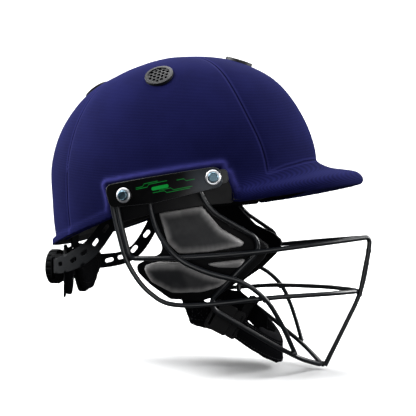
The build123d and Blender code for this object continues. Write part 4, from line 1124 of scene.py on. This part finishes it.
    def _mark(self, skin: bpy.types.Object) -> None:
        """Sinks the seams, and stores knit rows and columns and the way to the nearest seam."""
        points = points_of(skin) / MM
        s = self.sizes
        away, gap = self._seam_away(points)
        sink = self.groove * np.exp(-((gap / self.groove_reach) ** 2))
        sink += self.pillow * np.exp(-((gap / self.pillow_reach) ** 2))
        set_points(skin, (points - points_of(skin, "normal") * sink[:, None]) * MM)
        plan = np.hypot((points[:, 0] - s.widest_x) * s.half_width / s.front, points[:, 1])
        rise = np.arctan2(points[:, 2], plan)
        around = np.arctan2(np.abs(points[:, 1]) * s.front / s.half_width, points[:, 0] - s.widest_x)
        past = self._outline_share(points) - 1
        add_attribute(skin, "knit_row", (rise * self.knit_radius + np.clip(past, 0, 1) * s.front) * MM)
        add_attribute(skin, "knit_column", around * np.maximum(plan, 8) * MM)
        add_attribute(skin, "seam_far", ramp(gap, 3, 6))
        layer = skin.data.attributes.new("seam_away", "FLOAT_VECTOR", "POINT")
        layer.data.foreach_set("vector", (away * MM).astype(np.float32).ravel())

    def _seam_away(self, points: np.ndarray) -> tuple[np.ndarray, np.ndarray]:
        """Way from each vertex to the nearest sewn seam, and its length, in millimetres."""
        line = self._seam_line()
        line += [Vector((p.x, -p.y, p.z)) for p in line]
        lookup = lookup_of(line)
        away = np.array([lookup.find(Vector(p))[0] for p in points]) - points
        return away, np.linalg.norm(away, axis=1)

    def _seam_line(self) -> list[Vector]:
        """Left seam as close points, from the nape over the crown to the brim and along the brow."""
        s = self.sizes
        grid = self.dome()
        tree = BVHTree.FromPolygons([tuple(v) for v in grid.reshape(-1, 3)], self._grid_faces(grid))
        seam = np.array(s.seam)
        x = np.linspace(-124, 92, 900)
        y = spline_through(seam[:, 0], seam[:, 1], x)
        fall = Vector((0, 0, -1))
        hits = [tree.ray_cast(Vector((px, py, 300)), fall)[0] for px, py in zip(x, y)]
        line = [hit for hit in hits if hit is not None and hit.z > self.rim(hit.x)]
        down, drop = (
            [self._on_crown(tree, end, z) for z in np.arange(end.z, low, -self.seam_step)]
            for end, low in ((line[0], self.rim(line[0].x)), (line[-1], self.fold_z[-1][1]))
        )
        start = math.atan2(drop[-1].y, drop[-1].x - s.widest_x)
        brow = []
        for angle in np.linspace(start, 0, 260):
            far = Vector((s.widest_x + 100 * math.cos(angle), 100 * math.sin(angle), 0))
            z = float(np.interp(angle, *zip(*self.fold_z)))
            brow.append(self._on_crown(tree, far, z))
        return down + line + drop + brow

    def _on_crown(self, tree: BVHTree, near: Vector, z: float) -> Vector:
        """Point of the crown's outside at a height, in the direction of a point."""
        middle = Vector((self.sizes.widest_x, 0, z))
        way = Vector((near.x - middle.x, near.y, 0)).normalized()
        return tree.ray_cast(middle + way * 400, -way)[0] or Vector((near.x, near.y, z))

    @staticmethod
    def _grid_faces(grid: np.ndarray) -> list[tuple[int, ...]]:
        """Faces between the rows of a grid of points."""
        high, wide = grid.shape[:2]
        return [
            (a * wide + b, a * wide + (b + 1) % wide, (a + 1) * wide + (b + 1) % wide, (a + 1) * wide + b)
            for a in range(high - 1) for b in range(wide)
        ]


# Grille welds


@dataclass
class Welds:
    """Beads of weld where the grille's wires meet."""

    radius: float = 2.75 * MM
    reach: float = 1.2 * MM
    foot_reach: float = 3.5 * MM
    apart: float = 12.0 * MM
    voxel: float = 1.0 * MM
    front_x: float = 20.0 * MM
    top_z: float = -40.0 * MM
    wires: tuple[str, ...] = (
        "lower_hoop", "chin_hoop", "upper_wire_right", "upper_wire_left", "brace_right", "brace_left",
    )

    def build(self, nodes: dict[str, bpy.types.Object]) -> bpy.types.Object:
        """Makes the beads.

        Args:
            nodes: The frame's nodes by name.

        Returns:
            The dressed beads, in place.
        """
        spots = self._spots(nodes)
        work = bmesh.new()
        for spot in spots:
            ball = bmesh.ops.create_icosphere(work, subdivisions=2, radius=self.radius)
            for vert in ball["verts"]:
                swirl = math.sin(vert.co.x * 2600 + spot.z * 900) * math.sin(vert.co.z * 2300 + 1)
                vert.co = vert.co * (1 + 0.05 * swirl) + spot
        mesh = bpy.data.meshes.new("grille_welds")
        write_out(work, mesh)
        mesh.shade_smooth()
        beads = placed("grille_welds", mesh)
        PAINTS.dress(beads, Finish.WIRE)
        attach(beads, "shell")
        return beads

    def _spots(self, nodes: dict[str, bpy.types.Object]) -> list[Vector]:
        """Places midway between wires that touch or nearly touch, well apart from each other."""
        trees, dots = {}, {}
        for name in self.wires:
            trees[name] = tree_of(nodes[name])
            copy = remeshed(merged_copy([nodes[name]], "weld_work"), self.voxel)
            dots[name] = [Vector(p) for p in points_of(copy) if p[0] > self.front_x and p[2] < self.top_z]
            bpy.data.objects.remove(copy)
        found = []
        for first, second in combinations(self.wires, 2):
            limit = self.foot_reach if (first, second) == ("chin_hoop", "upper_wire_left") else self.reach
            for dot in dots[first]:
                hit, _, _, gap = trees[second].find_nearest(dot, limit)
                if hit is not None:
                    found.append((gap, (dot + hit) / 2))
        spots: list[Vector] = []
        for _, place in sorted(found, key=lambda row: (row[0], row[1].x, row[1].y)):
            if all((place - spot).length > self.apart for spot in spots):
                spots.append(place)
        return spots


# Cheek panels


@dataclass
class GuardPanel:
    """Cheek panel with its edge drawn down to the base in a wide soft roll."""

    node: str
    base: str
    voxel: float = 0.9 * MM
    rounds: int = 70
    held_gap: float = 1.1 * MM
    roll_start: float = 2.4 * MM
    roll_end: float = 9.0 * MM

    def build(self, nodes: dict[str, bpy.types.Object]) -> bpy.types.Object:
        """Makes the panel.

        Args:
            nodes: The frame's nodes by name.

        Returns:
            The dressed panel, in place.
        """
        panel = remeshed(merged_copy([nodes[self.node]], f"{self.node}_roll"), self.voxel)
        tree = tree_of(nodes[self.base])
        start = points_of(panel)
        gaps = np.array([tree.find_nearest(Vector(p))[3] for p in start])
        free = ramp(gaps, self.held_gap, 2 * self.held_gap)
        smooth_by(panel, 0.5, self.rounds, free)
        smooth_by(panel, 0.5, 3)
        # panel_roll marks the roll that the skin lightens with a painted highlight.
        add_attribute(panel, "panel_roll", self._roll(points_of(panel), (free > 0) & (free < 1)))
        panel.data.shade_smooth()
        PAINTS.dress(panel, Finish.PANEL)
        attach(panel, "shell")
        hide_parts(self.node)
        return panel

    def _roll(self, points: np.ndarray, foot: np.ndarray) -> np.ndarray:
        """1 on the roll of the edge, falling to 0 on the panel's middle."""
        lookup = lookup_of(points[foot])
        away = np.array([lookup.find(point)[2] for point in points])
        return ramp(away, self.roll_end, self.roll_start) ** 2


# Pads


@dataclass
class Pad:
    """A stuffed pad blown up from its solid."""

    name: str
    node: str
    body: str
    voxel: float = 1.5 * MM
    pressure: float = 3.0
    cap: float = 1.6 * MM
    frames: int = 12
    fill: float = 0.7

    def build(self, nodes: dict[str, bpy.types.Object]) -> bpy.types.Object:
        """Makes the pad.

        Args:
            nodes: The frame's nodes by name.

        Returns:
            The dressed pad, in place.
        """
        pad = remeshed(merged_copy([nodes[self.node]], self.name), self.voxel)
        smooth_by(pad, 0.5, 6)
        self._inflate(pad)
        pad.data.shade_smooth()
        PAINTS.dress(pad, Finish.PAD)
        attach(pad, self.body)
        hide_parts(self.node)
        return pad

    def _inflate(self, pad: bpy.types.Object) -> None:
        """Blows the pad up as cloth, with no point moved past the cap."""
        start = points_of(pad)
        cloth = pad.modifiers.new("cloth", "CLOTH")
        cloth.settings.quality = 4
        cloth.settings.mass = 0.15
        cloth.settings.tension_stiffness = 30
        cloth.settings.use_pressure = True
        cloth.settings.uniform_pressure_force = self.pressure
        cloth.settings.effector_weights.gravity = 0
        cloth.collision_settings.use_collision = False
        scene = bpy.context.scene
        for frame in range(1, self.frames + 1):
            scene.frame_set(frame)
        settle(pad)
        scene.frame_set(1)
        move = points_of(pad) - start
        length = np.linalg.norm(move, axis=1, keepdims=True).clip(1e-9)
        set_points(pad, start + move / length * np.minimum(length, self.cap))
        smooth_by(pad, 0.4, 2)


# Strips between shell and cradle


@dataclass
class Flexed:
    """A springy strip between the shell and the cradle, copied from its node and dressed.

    Attributes:
        name: Name of the piece.
        node: CAD node that it stands in for.
        finish: Its finish.
        start: Place in millimetres up to which it stays with the shell; not used.
        end: Place from which it moves with the cradle; not used.
    """

    name: str
    node: str
    finish: Finish
    start: Row
    end: Row

    def build(self, nodes: dict[str, bpy.types.Object]) -> bpy.types.Object:
        """Makes the strip.

        Args:
            nodes: The frame's nodes by name.

        Returns:
            The dressed strip.
        """
        strip = merged_copy([nodes[self.node]], self.name)
        strip.data.shade_smooth()
        strip.data.set_sharp_from_angle(angle=math.radians(35))
        PAINTS.dress(strip, self.finish)
        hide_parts(self.node)
        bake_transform(strip)
        return strip


# Webbing and stitches


HALF_WIDTH = 9.7 * MM


@dataclass
class StitchRow:
    """Thread laid along a line by a node tree: one small oval for each stitch."""

    pitch: float = 3.0 * MM
    length: float = 2.1 * MM
    radius: float = 0.35 * MM

    def tree(self) -> tuple[bpy.types.NodeTree, dict[str, str]]:
        """Builds the node tree.

        Returns:
            The tree, and each input's identifier by its name.
        """
        tree = bpy.data.node_groups.new("stitch_row", "GeometryNodeTree")
        tree.interface.new_socket("Geometry", in_out="INPUT", socket_type="NodeSocketGeometry")
        for name in ("Pitch", "Length", "Radius"):
            tree.interface.new_socket(name, in_out="INPUT", socket_type="NodeSocketFloat")
        tree.interface.new_socket("Material", in_out="INPUT", socket_type="NodeSocketMaterial")
        tree.interface.new_socket("Geometry", in_out="OUTPUT", socket_type="NodeSocketGeometry")
        names = {s.name: s.identifier for s in tree.interface.items_tree if s.in_out == "INPUT"}
        kinds = {
            "entry": "NodeGroupInput", "exit": "NodeGroupOutput", "curve": "GeometryNodeMeshToCurve",
            "sample": "GeometryNodeResampleCurve", "oval": "GeometryNodeMeshUVSphere",
            "size": "ShaderNodeCombineXYZ", "half": "ShaderNodeMath", "tangent": "GeometryNodeInputTangent",
            "aim": "FunctionNodeAlignRotationToVector", "place": "GeometryNodeInstanceOnPoints",
            "real": "GeometryNodeRealizeInstances", "paint": "GeometryNodeSetMaterial",
        }
        made = {key: tree.nodes.new(kind) for key, kind in kinds.items()}
        made["sample"].mode, made["half"].operation, made["aim"].axis = "LENGTH", "MULTIPLY", "X"
        for socket, value in (("Segments", 6), ("Rings", 5), ("Radius", 1.0)):
            made["oval"].inputs[socket].default_value = value
        made["half"].inputs[1].default_value = 0.5
        for source, out, target, into in (
            ("entry", "Geometry", "curve", 0), ("curve", 0, "sample", "Curve"),
            ("entry", "Pitch", "sample", "Length"), ("entry", "Length", "half", 0), ("half", 0, "size", 0),
            ("entry", "Radius", "size", 1), ("entry", "Radius", "size", 2), ("tangent", 0, "aim", "Vector"),
            ("sample", 0, "place", "Points"), ("oval", "Mesh", "place", "Instance"),
            ("aim", 0, "place", "Rotation"), ("size", 0, "place", "Scale"), ("place", 0, "real", 0),
            ("real", 0, "paint", "Geometry"), ("entry", "Material", "paint", "Material"),
            ("paint", 0, "exit", 0),
        ):
            tree.links.new(made[source].outputs[out], made[target].inputs[into])
        return tree, names

    def sew(self, name: str, lines: list[list[Vector]], body: str) -> bpy.types.Object:
        """Lays stitches along lines.

        Args:
            name: The piece's name.
            lines: Lines of points in metres.
            body: The body that the thread rides on.

        Returns:
            The thread, in place.
        """
        mesh = bpy.data.meshes.new(name)
        verts, edges = [], []
        for line in lines:
            start = len(verts)
            verts += [tuple(p) for p in line]
            edges += [(start + i, start + i + 1) for i in range(len(line) - 1)]
        mesh.from_pydata(verts, edges, [])
        obj = placed(name, mesh)
        tree, names = self.tree()
        modifier = obj.modifiers.new("stitches", "NODES")
        modifier.node_group = tree
        modifier[names["Pitch"]] = self.pitch
        modifier[names["Length"]] = self.length
        modifier[names["Radius"]] = self.radius
        modifier[names["Material"]] = PAINTS.get(Finish.THREAD)
        settle(obj)
        obj.data.shade_smooth()
        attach(obj, body)
        return obj


@dataclass
class Ribbon:
    """Flat woven strap along routes, with soft edges and its own weave attributes."""

    name: str
    body: str
    half: float = HALF_WIDTH
    wall: float = 1.5 * MM
    across: Row = (-1.0, -0.97, -0.9, -0.45, 0.0, 0.45, 0.9, 0.97, 1.0)
    thick: Row = (0.25, 0.8, 1.0, 1.0, 1.0, 1.0, 1.0, 0.8, 0.25)

    def build(self, routes: list["Route"]) -> bpy.types.Object:
        """Makes the strap.

        Args:
            routes: Runs of webbing that are sewn together.

        Returns:
            The dressed strap, in place.
        """
        verts, faces, along, over = [], [], [], []
        ring = 2 * len(self.across)
        for route in routes:
            start, travelled = len(verts), 0.0
            for i, (middle, out, side) in enumerate(route.frames()):
                if i:
                    travelled += (middle - route.points[i - 1]).length
                for face in (1, -1):
                    for place, share in list(zip(self.across, self.thick))[::face]:
                        reach = place * self.half * route.width_share(i)
                        verts.append(middle + side * reach + out * face * share * self.wall / 2)
                        along.append(travelled)
                        over.append(place * self.half)
            count = len(route.points)
            rows = [range(start + a * ring, start + (a + 1) * ring) for a in range(count)]
            for low, high in zip(rows, rows[1:]):
                turned = [(b, (b + 1) % ring) for b in range(ring)]
                faces += [(low[b], low[c], high[c], high[b]) for b, c in turned]
            faces += [tuple(rows[0])[::-1], tuple(rows[-1])]
        obj = new_object(self.name, verts, faces, Finish.WEBBING)
        add_attribute(obj, "strap_along", along)
        add_attribute(obj, "strap_across", over)
        work = working_mesh(obj)
        bmesh.ops.recalc_face_normals(work, faces=work.faces)
        write_out(work, obj.data)
        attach(obj, self.body)
        return obj


@dataclass
class Route:
    """One run of webbing: points of its middle, outward directions, and whether its start is round."""

    points: list[Vector]
    outs: list[Vector]
    round_start: bool = False

    def frames(self) -> list[tuple[Vector, Vector, Vector]]:
        """Each point with its outward and crosswise directions."""
        rows = []
        for i, (point, out) in enumerate(zip(self.points, self.outs)):
            ahead = self.points[min(i + 1, len(self.points) - 1)] - self.points[max(i - 1, 0)]
            side = out.cross(ahead).normalized()
            rows.append((point, ahead.cross(side).normalized(), side))
        return rows

    def width_share(self, i: int) -> float:
        """Share of the full width at a point, less towards a round end."""
        if not self.round_start:
            return 1.0
        way = (self.points[i] - self.points[0]).length / HALF_WIDTH
        return math.sqrt(max(0.0, 1 - (1 - min(way, 1.0)) ** 2)) * 0.98 + 0.02

    def line(self, side_share: float, start: float, end: float, lift: float) -> list[Vector]:
        """Line along the run for stitches.

        Args:
            side_share: Place across, from -1 to 1.
            start: Share of the points where it starts.
            end: Share of the points where it ends.
            lift: Height over the middle, in metres.

        Returns:
            The line's points.
        """
        frames = self.frames()
        count = len(frames)
        part = frames[int(start * count): max(int(end * count), int(start * count) + 2)]
        return [point + side * side_share * HALF_WIDTH + out * lift for point, out, side in part]


@dataclass
class ChinStrap:
    """Routes of the chin webbing and its side straps, from the frame's own sizes."""

    centre_x: float = 20.0
    radius_x: float = 79.0
    radius_y: float = 62.0
    reach: float = 99.0
    drop: float = 160.0
    wall: float = 1.6
    anchor: Row = (-6.0, 78.5, 4.0)
    corner: float = 0.24
    plug: float = 0.635
    socket: float = 0.50
    step_behind: float = 1.75
    step_start: float = 0.72
    upper: tuple[Row, ...] = ((0.25, 0.575), (0.44, 0.590), (0.60, 0.640), (0.80, 0.745), (1.05, 0.865))
    lower: tuple[Row, ...] = ((0.25, 0.700), (0.44, 0.712), (0.60, 0.765), (0.80, 0.870), (1.05, 0.990))

    def middle(self, share: float, side: int) -> tuple[Vector, Vector]:
        """Middle of the webbing and its outward direction at a share of its reach.

        Args:
            share: Share of the reach, forward.
            side: -1 for the right, 1 for the left.

        Returns:
            The point in metres and the direction.
        """
        x = share * self.reach
        lean = max(-1.0, min(1.0, (x - self.centre_x) / self.radius_x))
        y = side * self.radius_y * math.sqrt(1 - lean * lean)
        drop = sum(float(np.interp(share, *zip(*edge))) for edge in (self.upper, self.lower))
        out = Vector(((x - self.centre_x) / self.radius_x**2, y / self.radius_y**2, 0)).normalized()
        return (Vector((x, y, -drop / 2 * self.drop)) - out * (self.wall / 2)) * MM, out

    def round_chin(self) -> Route:
        """Run from the plug round the chin to the left corner."""
        angles = np.linspace(-self._turn(self.plug), self._turn(self.corner), 90)
        return self._run([
            self.middle((self.centre_x + self.radius_x * math.cos(a)) / self.reach, 1 if a > 0 else -1)
            for a in angles
        ])

    def sewn_end(self) -> Route:
        """Short right run from the corner to the buckle's socket."""
        return self._run([self.middle(share, -1) for share in np.linspace(self.corner, self.socket, 24)])

    @staticmethod
    def _run(rows: list[tuple[Vector, Vector]]) -> Route:
        """Run through points with their outward directions."""
        return Route([point for point, _ in rows], [out for _, out in rows])

    def side_run(self, side: int) -> Route:
        """Run from the rivet down to the corner, where it passes behind.

        Args:
            side: -1 for the right, 1 for the left.

        Returns:
            The run.
        """
        top = Vector((self.anchor[0], side * self.anchor[1], self.anchor[2])) * MM
        foot, _ = self.middle(self.corner + 0.05, side)
        along = (foot - top).normalized()
        out = Vector((0, side, 0))
        out = (out - along * out.dot(along)).normalized()
        start, end = top - along * 7 * MM, foot + along * 8 * MM
        points = []
        for t in np.linspace(0, 1, 60):
            behind = max(0.0, (t - self.step_start) / (1 - self.step_start))
            points.append(start.lerp(end, t) - out * self.step_behind * MM * ease(behind))
        return Route(points, [out] * len(points), round_start=True)

    def _turn(self, share: float) -> float:
        """Angle round the strap's oval at a share of the reach."""
        return math.acos((share * self.reach - self.centre_x) / self.radius_x)


@dataclass
class PadStitches:
    """Stitches cast onto a pad's face from inside the helmet."""

    pads: dict[str, bpy.types.Object]
    crown_start: Row = (5, 40)
    crown_oval: Row = (54, 33.5)

    def cast(self, pad: str, rays: list[tuple[Row, Row]], lift: float = 0.15) -> list[list[Vector]]:
        """Lines where rays meet a pad.

        Args:
            pad: The pad's name.
            rays: Start and direction of each ray, in millimetres.
            lift: Height of the thread over the cloth, in millimetres.

        Returns:
            One or more unbroken lines, in metres.
        """
        work = working_mesh(self.pads[pad])
        tree = BVHTree.FromBMesh(work)
        work.free()
        lines, line = [], []
        for start, way in rays:
            aim = Vector(way).normalized()
            hit = tree.ray_cast(Vector(start) * MM, aim)[0]
            if hit is None or (line and (hit - line[-1]).length > 6 * MM):
                lines.append(line)
                line = []
            if hit is not None:
                line.append(hit - aim * lift * MM)
        lines.append(line)
        return [one for one in lines if len(one) > 3]

    @staticmethod
    def _ray(x: float, z: float, turn: float) -> tuple[Row, Row]:
        """Level ray from the helmet's middle plane, turned by an angle in radians."""
        return (x, 0, z), (math.cos(turn), math.sin(turn), 0)

    def crown(self) -> list[list[Vector]]:
        """Oval inside the crown pad's edge and its crossing channels."""
        up, turns = (0, 0, 1), np.linspace(0, 2 * math.pi, 160)
        (mid, start), (wide, deep) = self.crown_start, self.crown_oval
        oval = [((mid + wide * math.cos(t), deep * math.sin(t), start), up) for t in turns]
        lines = self.cast("crown_cushion", oval)
        for turn in (0, 60, -60):
            c, s = math.cos(math.radians(turn)), math.sin(math.radians(turn))
            for offset in (-3.4, 3.4):
                places = [(mid + c * d - s * offset, s * d + c * offset) for d in np.linspace(-52, 52, 110)]
                inside = [(x, y) for x, y in places if ((x - mid) / wide) ** 2 + (y / deep) ** 2 < 1]
                lines += self.cast("crown_cushion", [((x, y, start), up) for x, y in inside])
        return lines

    def brow(self) -> list[list[Vector]]:
        """Two lines round the sweat band and one each side of its channels."""
        lines = []
        for z in (24.0, 61.0):
            turns = np.radians(np.linspace(-60, 60, 150))
            lines += self.cast("brow_cushion", [self._ray(5, z, t) for t in turns])
        for turn in (-36, -12, 12, 36):
            for offset in (-2.2, 2.2):
                t = math.radians(turn + offset)
                lines += self.cast("brow_cushion", [self._ray(5, z, t) for z in np.linspace(25, 60, 40)])
        return lines

    def sides(self) -> list[list[Vector]]:
        """Loop inside each side pad's edge."""
        corners = [(-53, 26), (-8, 26), (34, 36), (29, 62), (-46, 58), (-53, 26)]
        lines = []
        for side in (-1, 1):
            rays = []
            for a, b in zip(corners, corners[1:]):
                rays += [((a[0] + (b[0] - a[0]) * t, 0, a[1] + (b[1] - a[1]) * t), (0, side, 0))
                         for t in np.linspace(0, 1, 30)]
            lines += self.cast("side_cushions", rays)
        return lines

    def nape(self) -> list[list[Vector]]:
        """Oval on each nape lobe."""
        lines = []
        for side in (-1, 1):
            rays = [((-60, side * 23 + 13 * math.cos(t), -70 + 16 * math.sin(t)), (-1, 0, 0))
                    for t in np.linspace(0, 2 * math.pi, 90)]
            lines += self.cast("nape_cushions", rays)
        return lines

    def chin(self) -> list[list[Vector]]:
        """Two lines along the chin cup's inner face."""
        turns = np.radians(np.linspace(-38, 38, 80))
        lines = []
        for z in (-146.0, -127.0):
            lines += self.cast("chin_cushion", [self._ray(30, z, t) for t in turns])
        return lines


# Whole helmet


@dataclass
class Helmet:
    """Dresses every node and adds the soft pieces, the strips and the welds."""

    frame: dict[str, Any]
    finishes: tuple[tuple[str, Finish], ...] = (
        ("cover_", Finish.KNIT), ("peak_cover", Finish.KNIT), ("peak_core", Finish.SHELL),
        ("hard_shell", Finish.SHELL), ("rim_trim", Finish.EDGE), ("energy_liner", Finish.FOAM),
        ("plate_screws", Finish.HEX), ("tee_nuts", Finish.HEX), ("cup_washers", Finish.WASHER),
        ("vent_", Finish.VENT), ("temple_trim", Finish.TRIM), ("side_plate", Finish.PLATE),
        ("guard_base", Finish.GUARD), ("guard_", Finish.PANEL), ("lower_hoop", Finish.WIRE),
        ("chin_hoop", Finish.WIRE), ("upper_wire", Finish.WIRE), ("brace_", Finish.WIRE),
        ("grille_bracket", Finish.WIRE), ("liner_rivets", Finish.RIVET), ("strap_", Finish.WEBBING),
        ("chin_webbing", Finish.WEBBING), ("buckle_", Finish.BUCKLE), ("prong_", Finish.BUCKLE),
        ("slider", Finish.BUCKLE), ("band_", Finish.BAND),
    )
    pads: tuple[Pad, ...] = (
        Pad("crown_cushion", "crown_pad", "shell"),
        Pad("brow_cushion", "brow_pad", "shell"),
        Pad("side_cushions", "side_pads", "shell"),
        Pad("nape_cushions", "nape_pads", "cradle"),
        Pad("chin_cushion", "chin_cup", "chin_strap"),
        Pad("jaw_flap", "strap_flap", "chin_strap"),
    )
    strips: tuple[Flexed, ...] = (
        Flexed("ratchet_band_right", "band_right", Finish.BAND, (-46, -60, -30), (-96, -60, -30)),
        Flexed("ratchet_band_left", "band_left", Finish.BAND, (-46, 60, -30), (-96, 60, -30)),
        Flexed("hanger_strip", "hanger", Finish.NYLON, (-112, 0, -27), (-112, 0, -48)),
    )

    def dress_nodes(self) -> None:
        """Gives each CAD node its finish."""
        for name, node in self.frame["nodes"].items():
            finish = next((f for start, f in self.finishes if name.startswith(start)), Finish.NYLON)
            PAINTS.dress(node, finish)

    def build(self) -> list[bpy.types.Object]:
        """Adds the modelled pieces.

        Returns:
            The new pieces.
        """
        nodes = self.frame["nodes"]
        made = [Cover().build(nodes), Welds().build(nodes)]
        made += [strip.build(nodes) for strip in self.strips]
        for side in ("right", "left"):
            for level in ("upper", "middle", "lower"):
                made.append(GuardPanel(f"guard_{level}_{side}", f"guard_base_{side}").build(nodes))
        pads = {pad.name: pad.build(nodes) for pad in self.pads}
        made += pads.values()
        made += self._strap()
        made += self._pad_stitches(pads)
        return made

    def _strap(self) -> list[bpy.types.Object]:
        """Chin webbing, side straps and their stitches."""
        strap = ChinStrap()
        chin, sewn = strap.round_chin(), strap.sewn_end()
        right, left = strap.side_run(-1), strap.side_run(1)
        bands = [
            (Ribbon("chin_band", "chin_strap").build([chin]), "chin_webbing"),
            (Ribbon("side_band_right", "chin_strap").build([right, sewn]), "strap_right"),
            (Ribbon("side_band_left", "chin_strap").build([left]), "strap_left"),
        ]
        for band, node in bands:
            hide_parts(node)
        lift = 0.82 * MM
        seams = (-0.78, 0.78)
        rows = [chin.line(side, 0.03, 0.97, lift) for side in seams]
        rows += self._box_stitch(chin, 0.87, 0.95, lift)
        rows += self._box_stitch(sewn, 0.05, 0.55, lift)
        rows += [run.line(side, 0.2, 0.8, lift) for run in (right, left) for side in seams]
        return [band for band, _ in bands] + [
            StitchRow().sew("strap_stitches", rows, "chin_strap")]

    @staticmethod
    def _box_stitch(route: Route, start: float, end: float, lift: float) -> list[list[Vector]]:
        """Box with a cross, over a share of a run."""
        low, high = (route.line(side, start, end, lift) for side in (-0.66, 0.66))
        return [low, high, [low[0], high[0]], [low[-1], high[-1]], [low[0], high[-1]], [high[0], low[-1]]]

    @staticmethod
    def _pad_stitches(pads: dict[str, bpy.types.Object]) -> list[bpy.types.Object]:
        """Stitches of the pads, one piece for each body."""
        sewing = PadStitches(pads)
        thread = StitchRow(pitch=2.6 * MM, length=1.9 * MM, radius=0.28 * MM)
        shell = sewing.crown() + sewing.brow() + sewing.sides()
        return [
            thread.sew("liner_stitches", shell, "shell"),
            thread.sew("nape_stitches", sewing.nape(), "cradle"),
            thread.sew("cup_stitches", sewing.chin(), "chin_strap"),
        ]


# Stage


@dataclass
class Studio:
    """Pale floor, soft light and the camera."""

    azimuth: float = 10.8
    look: Row = (27.0, 0.0, -10.0)
    distance: float = 795.0
    lens: float = 71.6
    sensor: float = 36.0
    floor_z: float = -161.0

    def build(self) -> None:
        """Makes the backdrop, lights and camera."""
        self._backdrop()
        self._world()
        self._lights()
        self._camera()

    def _backdrop(self) -> None:
        """Floor that sweeps up into a wall behind the helmet."""
        profile = [(-3.0, 0.0), (1.2, 0.0)]
        bends = np.linspace(0.2, math.pi / 2, 9)
        profile += [(1.2 + 0.8 * math.sin(t), 0.8 - 0.8 * math.cos(t)) for t in bends]
        profile.append((2.0, 4.0))
        verts = [(x, y, z + self.floor_z * MM) for x in (-5.0, 5.0) for y, z in profile]
        count = len(profile)
        faces = [(i, count + i, count + i + 1, i + 1) for i in range(count - 1)]
        sweep = new_object("backdrop_sweep", verts, faces, Finish.STAGE)
        turn = Matrix.Rotation(math.radians(self.azimuth), 4, "Z")
        sweep.data.transform(turn)
        sweep.visible_glossy = sweep.visible_diffuse = False

    def _world(self) -> None:
        """Even pale surroundings."""
        world = bpy.data.worlds.new("studio")
        world.use_nodes = True
        background = world.node_tree.nodes["Background"]
        background.inputs[0].default_value = (0.95, 0.97, 1.0, 1)
        background.inputs[1].default_value = 0.08
        bpy.context.scene.world = world
        bpy.context.scene.view_settings.view_transform = "Standard"

    def _lights(self) -> None:
        """Large soft lamps: key above left, fill right, strips that draw the rims, and one on the wall."""
        rows = (
            ("key", (-560, -380, 700), (0, 0, 30), 0.40, 10.0),
            ("fill", (620, -620, 160), (20, 0, -40), 0.5, 1.2),
            ("top", (60, 120, 760), (0, 0, 30), 0.6, 6.5),
            ("rim_rear", (-780, 60, 300), (0, 0, 0), 0.5, 9.5),
            ("rim_front", (820, 240, 240), (60, 0, 0), 0.5, 9.0),
            ("under", (150, -620, -100), (30, 0, -60), 0.3, 0.6),
            ("wall", (0, 500, 900), (0, 2000, 200), 1.2, 38.0),
            ("floor", (0, 900, 900), (0, 1100, -160), 1.2, 16.0),
        )
        for name, place, aim, size, power in rows:
            lamp = bpy.data.lights.new(name, "AREA")
            lamp.shape, lamp.size, lamp.energy = "DISK", size, power
            obj = placed(name, lamp)
            obj.location = Vector(place) * MM
            obj.rotation_euler = (Vector(aim) - Vector(place)).to_track_quat("-Z", "Y").to_euler()

    def _camera(self) -> None:
        """Camera at the measured place."""
        a = math.radians(self.azimuth)
        back = Vector((math.sin(a), -math.cos(a), 0))
        camera = bpy.data.cameras.new("camera")
        camera.lens, camera.sensor_width = self.lens, self.sensor
        obj = placed("camera", camera)
        obj.location = (Vector(self.look) + back * self.distance) * MM
        obj.rotation_euler = (-back).to_track_quat("-Z", "Y").to_euler()
        bpy.context.scene.camera = obj


def main() -> None:
    """Builds the helmet's looks in order and reports each piece."""
    logging.basicConfig(level=logging.INFO, format="%(name)s: %(message)s")
    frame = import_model()
    helmet = Helmet(frame)
    helmet.dress_nodes()
    for piece in helmet.build():
        LOG.info("%s: %d faces", piece.name, len(piece.data.polygons))
    Studio().build()


if __name__ == "__main__":
    main()
